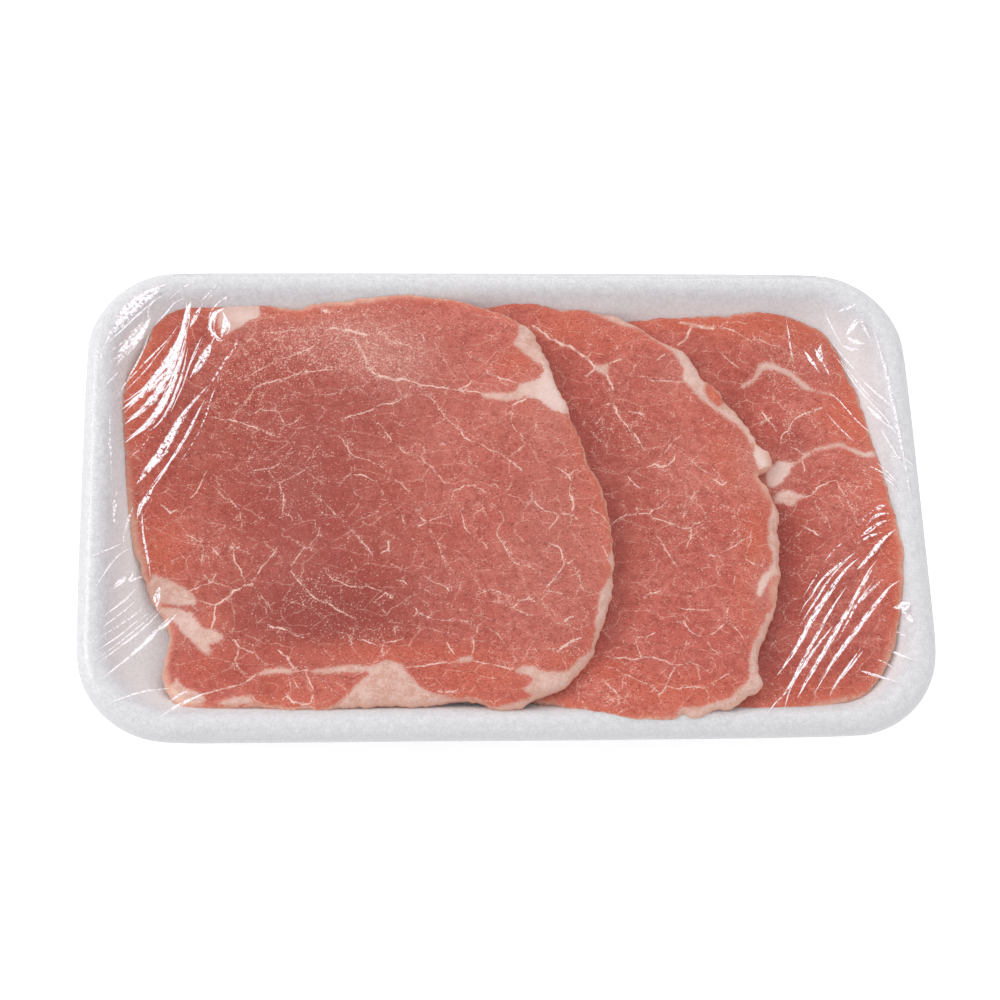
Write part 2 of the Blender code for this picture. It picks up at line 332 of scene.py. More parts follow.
def raw_pork():
    """Moist lean with marbling, fat and a paler rim, laid out by the slice's own attributes."""
    material, tree = new_material("raw_pork")
    place = millimetres(tree)
    vein_x, vein_y, vein_width = attribute_parts(tree, "vein")
    fat_reach, edge_reach, vein_far = attribute_parts(tree, "marks")
    brown, warm, painted_glints = attribute_parts(tree, "zones")
    pale, painted_shadow, light = attribute_parts(tree, "tints_and_shadow")

    # Grain of the muscle at three sizes, the finest drawn out along the bundles
    lay = node(tree, "ShaderNodeMapping",
               {0: place, "Rotation": (0, 0, BUNDLE_TURN), "Scale": BUNDLE_STRETCH}).outputs[0]
    fibre = grain(tree, lay, 1.0, roughness=0.65)
    bundle = grain(tree, place, 0.42, detail=3.0, roughness=0.62)
    broad = grain(tree, place, 0.07)

    # Lean: its ground, then all that darkens, warms or pales it, painted shadow among them, ending
    # with the thin rim's glow
    lean = blend(tree, ramp(tree, broad, 0.38, 0.62), LEAN_DEEP, LEAN_LIGHT)
    for mask, strength, colour in (
            (ramp(tree, bundle, 0.56, 0.36), 0.5, BUNDLE_SHADOW),
            (brown, 0.9, LEAN_BROWN),
            (warm, 0.8, LEAN_WARM),
            (light, 0.58, LEAN_FROSTED),
            # painted shadow: the lean darkened where shade falls
            (painted_shadow, 0.7, LEAN_PAINTED_SHADOW),
            (ramp(tree, fibre, 0.48, 0.34), 0.6, FIBRE_SHADOW),
            (ramp(tree, edge_reach, 4.0, 0.5), 0.5, LEAN_THIN)):
        lean = wash(tree, lean, mask, strength, colour)

    # Pale grains and painted glints of the wet surface, thickest along the marbling and in the
    # glint zones
    call = grain(tree, place, 2.1, roughness=0.6)
    for pull, weight in ((ramp(tree, vein_far, 1.2, 0.0), 0.05), (painted_glints, 0.09), (bundle, 0.12)):
        call = maths(tree, "MULTIPLY_ADD", pull, weight, call)
    lean = wash(tree, lean, ramp(tree, call, 0.69, 0.79), 0.65, PALE_GRAIN_AND_GLINT)

    # Marbling veins, frayed by the fibres and fainter where they are fine
    reach = node(tree, "ShaderNodeVectorMath", {0: vector_of(tree, vein_x, vein_y)},
                 operation="LENGTH").outputs["Value"]
    reach = maths(tree, "ADD", reach, ramp(tree, fibre, 0.3, 0.7, 0.1, -0.1, smooth=False))
    vein = ramp(tree, reach, times(tree, vein_width, 0.2),
                maths(tree, "MULTIPLY_ADD", vein_width, 0.68, 0.05), 1.0, 0.0)
    vein = times(tree, vein, ramp(tree, vein_far, 0.75, 1.3, 1.0, 0.0))
    strength = times(tree, ramp(tree, vein_width, 0.06, 0.3, 0.24, 1.0),
                     ramp(tree, bundle, 0.38, 0.6, 0.35, 1.0))
    lean = wash(tree, lean, vein, strength, VEIN)

    # The finest marbling: a broken net between the bundles
    drift = node(tree, "ShaderNodeTexNoise",
                 {"Vector": place, "Scale": 0.3, "Detail": 3.0, "Roughness": 0.55})
    strayed = node(tree, "ShaderNodeVectorMath",
                   {0: drift.outputs["Color"], 1: FINE_VEIN_DRIFT, 2: lay},
                   operation="MULTIPLY_ADD").outputs[0]
    seam = maths(tree, "ADD", cell_seams(tree, strayed, 0.064, "2D"),
                 ramp(tree, fibre, 0.3, 0.7, 0.006, -0.006, smooth=False))
    lean = wash(tree, lean, ramp(tree, seam, 0.0, 0.026, 1.0, 0.0),
                ramp(tree, bundle, 0.4, 0.6, 0.08, 0.46), FINE_VEIN)

    # Fat
    uneven = maths(tree, "ADD", ramp(tree, bundle, 0.3, 0.7, -0.5, 0.5, smooth=False),
                   ramp(tree, fibre, 0.3, 0.7, -0.5, 0.5, smooth=False))
    fat = ramp(tree, maths(tree, "ADD", fat_reach, uneven), -0.7, 0.4, 1.0, 0.0)
    tallow = blend(tree, ramp(tree, bundle, 0.38, 0.62), FAT_DEEP, FAT_LIGHT)
    tallow = wash(tree, tallow, light, 0.8, FAT_WHITE)
    tallow = wash(tree, tallow, ramp(tree, fibre, 0.5, 0.68), 0.5, FAT_GRAIN)
    skin = blend(tree, fat, lean, tallow)

    # Cut rim: paler where the edge thins out, with a painted highlight along its very edge, and on
    # the side beneath a paler red painted to lift its shade
    edge = maths(tree, "ADD", edge_reach, uneven)
    thin = ramp(tree, edge, -0.2, maths(tree, "MULTIPLY_ADD", pale, 2.2, 1.4), 1.0, 0.0)
    skin = wash(tree, skin, thin, maths(tree, "MULTIPLY_ADD", pale, 0.45, 0.4),
                blend(tree, pale, RIM_LEAN, RIM_FAT))
    # painted highlight along the outermost edge of the cut
    skin = blend(tree, ramp(tree, edge, 0.0, 1.0, 0.7, 0.0), skin, RIM_PAINTED_HIGHLIGHT)
    # painted light: the side beneath made paler so that its shade is lifted
    skin = wash(tree, skin, ramp(tree, edge_reach, -0.6, -3.0), 0.7, RIM_SIDE_PAINTED_LIGHT)

    finish_with(tree, node(tree, "ShaderNodeBsdfPrincipled", {
        "Base Color": skin,
        "Roughness": ramp(tree, fibre, 0.35, 0.7, 0.34, 0.6),
        "Normal": relief(tree, grain(tree, place, 0.9, detail=1.0), 0.0004),
        "Specular IOR Level": 0.3}))
    return material


def bead_foam():
    """White foam: pressed beads under a smooth skin, with a faint satin sparkle of bright specks
    that are partly painted glints; its well painted whiter to lift its shade and its outer lip
    painted greyer as shade.
    """
    material, tree = new_material("bead_foam")
    place = millimetres(tree)
    seam = ramp(tree, cell_seams(tree, place, 0.62), 0.0, 0.09, 1.0, 0.0)
    patches, fine = mottle(tree, place, coarse=2.2, fine=0.7, share=0.5)
    lifted_well, shaded_lip, _ = attribute_parts(tree, "rim")
    white = blend(tree, ramp(tree, patches, 0.36, 0.64), FOAM_DEEP, FOAM_LIGHT)
    # painted light: the well is whiter so that its shade is lifted
    white = blend(tree, lifted_well, white, FOAM_WELL_PAINTED_LIGHT)
    # painted shade: the outer lip is greyer where it turns down
    white = blend(tree, shaded_lip, white, FOAM_LIP_SHADE)
    white = wash(tree, white, seam, 0.25, FOAM_SEAM)
    # bright bead specks, partly painted glints
    specks_and_glints = spots(tree, place, spacing=0.6, radius=0.3, bare=0.35)
    white = wash(tree, white, specks_and_glints, 0.4, FOAM_SPECK_AND_GLINT)
    height = maths(tree, "SUBTRACT", fine, times(tree, seam, 0.5))
    finish_with(tree, node(tree, "ShaderNodeBsdfPrincipled", {
        "Base Color": white,
        "Roughness": ramp(tree, fine, 0.3, 0.7, 0.42, 0.6),
        "Normal": relief(tree, height, 0.0002, 0.35),
        "Specular IOR Level": 0.4,
        "Subsurface Weight": 0.5,
        "Subsurface Radius": (1.0, 1.0, 1.0),
        "Subsurface Scale": 0.005}))
    return material


def clear_film():
    """Stretch film: see-through, with a gloss broken up where it clings to beads and meat."""
    material, tree = new_material("clear_film")
    cling = grain(tree, millimetres(tree), 1.3, roughness=0.6)
    gloss = node(tree, "ShaderNodeBsdfGlossy", {
        "Color": (1, 1, 1, 1), "Roughness": 0.16, "Normal": relief(tree, cling, 0.0002)})
    through = node(tree, "ShaderNodeBsdfTransparent", {"Color": (0.985, 0.985, 0.985, 1)})
    outside = maths(tree, "SUBTRACT", 1.0,
                    node(tree, "ShaderNodeNewGeometry").outputs["Backfacing"])
    share = times(tree, node(tree, "ShaderNodeFresnel", {"IOR": 1.4}).outputs[0], outside)
    finish_with(tree, node(tree, "ShaderNodeMixShader", {
        0: share, 1: through.outputs[0], 2: gloss.outputs[0]}))
    return material


def drawn_pleat_glare():
    """Gathered film: bright and milky where layers lie together, the white partly painted glare
    that glows a little of itself; clear in the gaps.
    """
    material, tree = new_material("drawn_pleat_glare")
    across, along, strength = attribute_parts(tree, "pleat")

    # Streaks that run along the pleat and fray its two sides
    drawn = vector_of(tree, times(tree, across, 2.2), times(tree, along, 0.5), strength)
    streak = grain(tree, drawn, 1.0, detail=3.0, roughness=0.6)
    frayed = maths(tree, "ADD", maths(tree, "ABSOLUTE", across),
                   ramp(tree, streak, 0.3, 0.7, -0.3, 0.3, smooth=False))
    cover = ramp(tree, frayed, 0.55, 0.95, 1.0, 0.0)

    # Gaps, more of them where the pleat is weak, and long slits
    least = maths(tree, "MULTIPLY_ADD", strength, -0.3, 0.67)
    patch = grain(tree, millimetres(tree), 1.2, detail=3.0, roughness=0.7)
    cover = times(tree, cover, ramp(tree, maths(tree, "SUBTRACT", patch, least), 0.0, 0.07))
    slit = vector_of(tree, times(tree, across, 2.6), times(tree, along, 0.22),
                     times(tree, strength, 17.0))
    cover = times(tree, cover, ramp(tree, grain(tree, slit, 1.0), 0.36, 0.43))

    tint = blend(tree, ramp(tree, streak, 0.4, 0.7), MILKY_GLARE, PINK_MILKY_GLARE)
    # painted glare: a white that glows a little of itself in place of the film's highlights
    body = node(tree, "ShaderNodeBsdfPrincipled", {
        "Base Color": tint, "Roughness": 0.18, "Emission Color": tint, "Emission Strength": 0.14})
    through = node(tree, "ShaderNodeBsdfTransparent", {"Color": (1, 1, 1, 1)})
    finish_with(tree, node(tree, "ShaderNodeMixShader", {
        0: cover, 1: through.outputs[0], 2: body.outputs[0]}))
    return material


def pale_table():
    """Matt white that is a little bright of itself."""
    material, tree = new_material("pale_table")
    patches = mottle(tree, millimetres(tree), coarse=60.0, fine=4.0, share=0.3)[0]
    finish_with(tree, node(tree, "ShaderNodeBsdfPrincipled", {
        "Base Color": blend(tree, patches, TABLE_DEEP, TABLE_LIGHT),
        "Roughness": 0.8,
        "Specular IOR Level": 0.1,
        "Emission Color": (1, 1, 1, 1),
        "Emission Strength": 0.32}))
    return material


# ---------------------------------------------------------------- plan rasters

STEP = 0.8
GRID_X = np.arange(-120.0, 120.01, STEP)
GRID_Y = np.arange(-76.0, 76.01, STEP)
PLAN_X, PLAN_Y = np.meshgrid(GRID_X, GRID_Y)
FAR_BELOW, FAR_ABOVE = -50.0, 100.0
CARRY_BLURS = (1.5, 3.0, 8.0, 25.0, 60.0)   # tried in turn until every place has a height
TINY = 1e-9


def cad_tree(name):
    """The CAD node's faces, to be met by rays."""
    return BVHTree.FromObject(frame["nodes"][name], bpy.context.evaluated_depsgraph_get())


def scan(tree, upward=False):
    """Heights of a piece over the plan, from above or from below. Bare places are nan."""
    start = FAR_BELOW if upward else FAR_ABOVE
    aim = Vector((0, 0, 1 if upward else -1))
    heights = np.full(PLAN_X.shape, np.nan)
    for row, y in enumerate(GRID_Y):
        for column, x in enumerate(GRID_X):
            hit = tree.ray_cast(Vector((x * MM, y * MM, start * MM)), aim)[0]
            if hit is not None:
                heights[row, column] = hit.z / MM
    return heights


def blur(values, sigma):
    """Gaussian smoothing over the plan, sigma in millimetres."""
    spread = sigma / STEP
    half = int(3 * spread) + 1
    kernel = np.exp(-0.5 * (np.arange(-half, half + 1) / spread) ** 2)
    kernel /= kernel.sum()
    for axis in (0, 1):
        padding = [(half, half) if side == axis else (0, 0) for side in (0, 1)]
        padded = np.pad(values, padding, mode="edge")
        total = np.zeros_like(values)
        for index, weight in enumerate(kernel):
            cut = [slice(None), slice(None)]
            cut[axis] = slice(index, index + values.shape[axis])
            total += weight * padded[tuple(cut)]
        values = total
    return values


def spread_out(heights):
    """The heights, carried on past the piece's outline."""
    known = ~np.isnan(heights)
    filled = np.where(known, heights, 0.0)
    weight = known.astype(float)
    result = np.where(known, heights, np.nan)
    for sigma in CARRY_BLURS:
        share = blur(weight, sigma)
        value = blur(filled, sigma) / np.maximum(share, TINY)
        result = np.where(np.isnan(result) & (share > 1e-3), value, result)
    return np.where(np.isnan(result), np.nanmean(heights), result)


def sample(heights, x, y):
    """Heights at any places of the plan, between those of the four grid places round each."""
    across = np.clip((np.asarray(x) - GRID_X[0]) / STEP, 0, len(GRID_X) - 1.001)
    up = np.clip((np.asarray(y) - GRID_Y[0]) / STEP, 0, len(GRID_Y) - 1.001)
    column, row = across.astype(int), up.astype(int)
    right, above = across - column, up - row
    near = heights[row, column] * (1 - right) + heights[row, column + 1] * right
    far = heights[row + 1, column] * (1 - right) + heights[row + 1, column + 1] * right
    return near * (1 - above) + far * above


def smooth_curve(points, closed=True, steps=8):
    """A rounded curve through the points, with that many steps from each to the next."""
    total = len(points)
    fine = []
    for index in range(total if closed else total - 1):
        if closed:
            picks = [points[(index + shift) % total] for shift in (-1, 0, 1, 2)]
        else:
            picks = [points[min(max(index + shift, 0), total - 1)] for shift in (-1, 0, 1, 2)]
        before, start, end, after = (np.array(pick, float) for pick in picks)
        for step in range(steps):
            t = step / steps
            fine.append(0.5 * (2 * start + (end - before) * t
                               + (2 * before - 5 * start + 4 * end - after) * t ** 2
                               + (3 * start - before - 3 * end + after) * t ** 3))
    if not closed:
        fine.append(np.array(points[-1], float))
    return np.array(fine)


def even_steps(curve, count, closed=True):
    """A count of places at equal steps along the curve."""
    line = np.vstack([curve, curve[:1]]) if closed else curve
    along = np.concatenate(([0.0], np.cumsum(np.hypot(*np.diff(line, axis=0).T))))
    marks = np.linspace(0.0, along[-1], count, endpoint=not closed)
    return np.stack([np.interp(marks, along, side) for side in line.T], axis=1)


def inside(x, y, polygon):
    """Which places lie inside a closed line."""
    result = np.zeros(np.shape(x), bool)
    ends = np.roll(polygon, -1, axis=0)
    for (x0, y0), (x1, y1) in zip(polygon, ends):
        crosses = (y0 > y) != (y1 > y)
        if y1 != y0:
            result ^= crosses & (x < (x1 - x0) * (y - y0) / (y1 - y0) + x0)
    return result


def line_distance(x, y, line):
    """Distance to the nearest part of a line."""
    best = np.full(np.shape(x), np.inf)
    for (x0, y0), (x1, y1) in zip(line, line[1:]):
        dx, dy = x1 - x0, y1 - y0
        t = np.clip(((x - x0) * dx + (y - y0) * dy) / max(dx * dx + dy * dy, TINY), 0, 1)
        best = np.minimum(best, np.hypot(x - x0 - t * dx, y - y0 - t * dy))
    return best


# ---------------------------------------------------------------- piece helpers

def only(piece):
    """The piece selected alone and active."""
    bpy.ops.object.select_all(action="DESELECT")
    piece.select_set(True)
    bpy.context.view_layer.objects.active = piece


def read_places(piece):
    """Where the piece's vertices are, in the mesh's own units."""
    places = np.zeros(len(piece.data.vertices) * 3)
    piece.data.vertices.foreach_get("co", places)
    return places.reshape(-1, 3)


def write_places(piece, places):
    """Vertices put at places given in millimetres."""
    piece.data.vertices.foreach_set("co", (np.asarray(places, float) * MM).ravel())
    piece.data.update()


def write_marks(piece, name, columns):
    """Three numbers for each vertex, under a name that the materials read."""
    attribute = piece.data.attributes.new(name, "FLOAT_VECTOR", "POINT")
    attribute.data.foreach_set("vector", np.stack(columns, axis=1).astype(np.float32).ravel())


def ring_place(u, v, wide, deep):
    """Where a place of a square grid lies: its ring, and its share of the way round.

    The ring goes from 0 in the middle to 1 at the edge. The way round starts at the lower
    right corner and goes up the right side.
    """
    ring = np.maximum(np.abs(u), np.abs(v))
    safe = np.where(ring > 0, ring, 1.0)
    a, b = u / safe, v / safe
    side = deep / (2 * (wide + deep))
    top = wide / (2 * (wide + deep))
    at_edge = 1 - 1e-6
    way = np.select(
        [a >= at_edge, b >= at_edge, a <= -at_edge],
        [(b + 1) / 2 * side, side + (1 - a) / 2 * top, side + top + (1 - b) / 2 * side],
        2 * side + top + (a + 1) / 2 * top)
    return ring, np.mod(way, 1.0)


def closed_line(outline):
    return np.vstack([outline, outline[:1]])


def around(outline, way):
    """Places on a closed outline at shares of the way round."""
    marks = np.arange(len(outline) + 1) / len(outline)
    return np.stack([np.interp(way, marks, side) for side in closed_line(outline).T], axis=1)


def blank_sheet(name, wide, deep, rows, beneath):
    """A square grid with rows of faces hung from its border, closed by a coarser grid beneath.

    The rows are one unit apart. Cells beneath are that many times as long and wide.
    """
    bpy.ops.object.select_all(action="DESELECT")
    bpy.ops.mesh.primitive_grid_add(x_subdivisions=wide, y_subdivisions=deep, size=2)
    sheet = bpy.context.object
    sheet.name = sheet.data.name = name
    bpy.ops.object.mode_set(mode="EDIT")
    bpy.ops.mesh.select_mode(type="VERT")
    bpy.ops.mesh.select_all(action="DESELECT")
    bpy.ops.mesh.select_non_manifold()
    for _ in range(rows):
        bpy.ops.mesh.extrude_region_move(TRANSFORM_OT_translate={"value": (0, 0, -1)})
    bpy.ops.mesh.select_all(action="DESELECT")
    bpy.ops.mesh.primitive_grid_add(x_subdivisions=wide // beneath, y_subdivisions=deep // beneath,
                                    size=2, location=(0, 0, -rows - 1))
    bpy.ops.mesh.select_all(action="DESELECT")
    bpy.ops.mesh.select_non_manifold()
    bpy.ops.mesh.bridge_edge_loops()
    bpy.ops.mesh.select_all(action="SELECT")
    bpy.ops.mesh.normals_make_consistent(inside=False)
    bpy.ops.object.mode_set(mode="OBJECT")
    return sheet


def finish_piece(piece, material, slot, *nodes_replaced):
    """The piece in its material, on the pack's one body, in place of CAD nodes."""
    piece.data.materials.clear()
    piece.data.materials.append(material)
    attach(piece, "root")
    if nodes_replaced:
        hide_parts(*nodes_replaced)


# ---------------------------------------------------------------- marbling

VEIN_WANDER = 0.1          # how far a vein's middle strays, as a share of its length
VEIN_PIECE = 0.35          # length of the steps in which veins are searched
NET_WIDTH = (0.03, 0.11)   # half widths of the net's veins
NET_SHARE = 0.7            # how much of the net shows
NET_MARGIN = 3             # how far past the slice's box the net is laid
NO_FAT = 30.0              # the way to the nearest fat where there is none


def crooked(points, rng):
    """The line with each step halved and its middle pushed aside, three times over."""
    for _ in range(3):
        finer = [points[0]]
        for (x0, y0), (x1, y1) in zip(points, points[1:]):
            push = rng.uniform(-VEIN_WANDER, VEIN_WANDER)
            middle = ((x0 + x1) / 2 - (y1 - y0) * push, (y0 + y1) / 2 + (x1 - x0) * push)
            finer += [middle, (x1, y1)]
        points = finer
    return points


def vein_net(low, high, long, short, slant, rng):
    """A net of fine veins round irregular cells, long by short in size, turned by a slant."""
    middle = ((low[0] + high[0]) / 2, (low[1] + high[1]) / 2)
    count = int(math.dist(low, high) / 2 / short) + 2
    jitter = {}

    def lattice(i, j):
        if (i, j) not in jitter:
            jitter[i, j] = (rng.uniform(-0.3, 0.3), rng.uniform(-0.3, 0.3))
        push = jitter[i, j]
        along, across = (i + j / 2 + push[0]) * long, (0.87 * j + push[1]) * short
        return (middle[0] + along * math.cos(slant) - across * math.sin(slant),
                middle[1] + along * math.sin(slant) + across * math.cos(slant))

    def centroid(*corners):
        return tuple(sum(values) / 3 for values in zip(*(lattice(*corner) for corner in corners)))

    found = []
    for j in range(-count, count + 1):
        for i in range(-count - j // 2, count + 1 - j // 2):
            start = centroid((i, j), (i + 1, j), (i, j + 1))
            for a, b in ((i, j), (i - 1, j), (i, j - 1)):
                end = centroid((a + 1, b), (a, b + 1), (a + 1, b + 1))
                width = rng.uniform(*NET_WIDTH) * rng.choice((0.5, 1.0, 1.0, 1.3))
                if rng.random() < NET_SHARE and all(
                        low[axis] - NET_MARGIN < start[axis] < high[axis] + NET_MARGIN
                        for axis in (0, 1)):
                    found.append((crooked([start, end], rng), width))
    return found


def vein_marks(x, y, veins):
    """For each place: the way to its nearest vein, that vein's half width, and how far it is."""
    segments = []
    tree_points = []
    for line, width in veins:
        total = len(line) - 1
        for index in range(total):
            (x0, y0), (x1, y1) = line[index], line[index + 1]
            taper = 0.45 + 0.55 * math.sin(math.pi * (index + 0.5) / total) ** 0.5
            pieces = max(1, int(math.hypot(x1 - x0, y1 - y0) / VEIN_PIECE))
            for step in range(pieces):
                t = (step + 0.5) / pieces
                tree_points.append((x0 + (x1 - x0) * t, y0 + (y1 - y0) * t, len(segments)))
            segments.append((x0, y0, x1, y1, width * taper))
    tree = KDTree(len(tree_points))
    for index, (px, py, _) in enumerate(tree_points):
        tree.insert((px, py, 0.0), index)
    tree.balance()
    owner = np.array([point[2] for point in tree_points])
    nearest = np.array([tree.find((px, py, 0.0))[1] for px, py in zip(x, y)])
    x0, y0, x1, y1, width = np.array(segments)[owner[nearest]].T
    dx, dy = x1 - x0, y1 - y0
    t = np.clip(((x - x0) * dx + (y - y0) * dy) / np.maximum(dx * dx + dy * dy, TINY), 0, 1)
    way_x, way_y = x0 + t * dx - x, y0 + t * dy - y
    return way_x, way_y, width, np.hypot(way_x, way_y)


def patch_reach(x, y, patch):
    """Signed distance to a patch, negative inside."""
    polygon = even_steps(smooth_curve(patch, steps=3), 3 * len(patch))
    distance = line_distance(x, y, closed_line(polygon))
    return np.where(inside(x, y, polygon), -distance, distance)


def fat_marks(x, y, patches, islands):
    """Signed distance to the nearest fat patch, negative inside, with islands of lean left out."""
    best = np.full(len(x), NO_FAT)
    for patch in patches:
        best = np.minimum(best, patch_reach(x, y, patch))
    for island in islands:
        best = np.maximum(best, -patch_reach(x, y, island))
    return best


def zone_marks(x, y, zones):
    """Strength of a zone of colour, painted shadow or painted glints: a sum of ovals (x, y, half
    length, half width, strength).
    """
    total = np.zeros(len(x))
    for cx, cy, rx, ry, strength in zones:
        total += strength * np.exp(-(((x - cx) / rx) ** 2 + ((y - cy) / ry) ** 2))
    return np.clip(total, 0, 1)


# ---------------------------------------------------------------- the slices

SLICE_CELLS = 236
SLICE_ROWS = 9
DRAPE_BLUR = 7.0           # how softly a slice lies over the one below it
EDGE_CROWD = 0.45          # how much closer the grid's rings lie near the edge
EDGE_ROUND = 2.4           # how far in from the edge the top begins to fall
LEAST_THICKNESS = 2.6
SWELL, RIPPLE = (13, 0.22), (3.2, 0.07)     # size and rise of the top's waves
BITES = ((4.5, 0, 0.5), (1.6, 5, 0.42))     # size, seed and depth of an edge's bites
UNDER_STEPS = (0.0, 3.0, 6.0, 9.0)          # how far in the rows on the underside lie
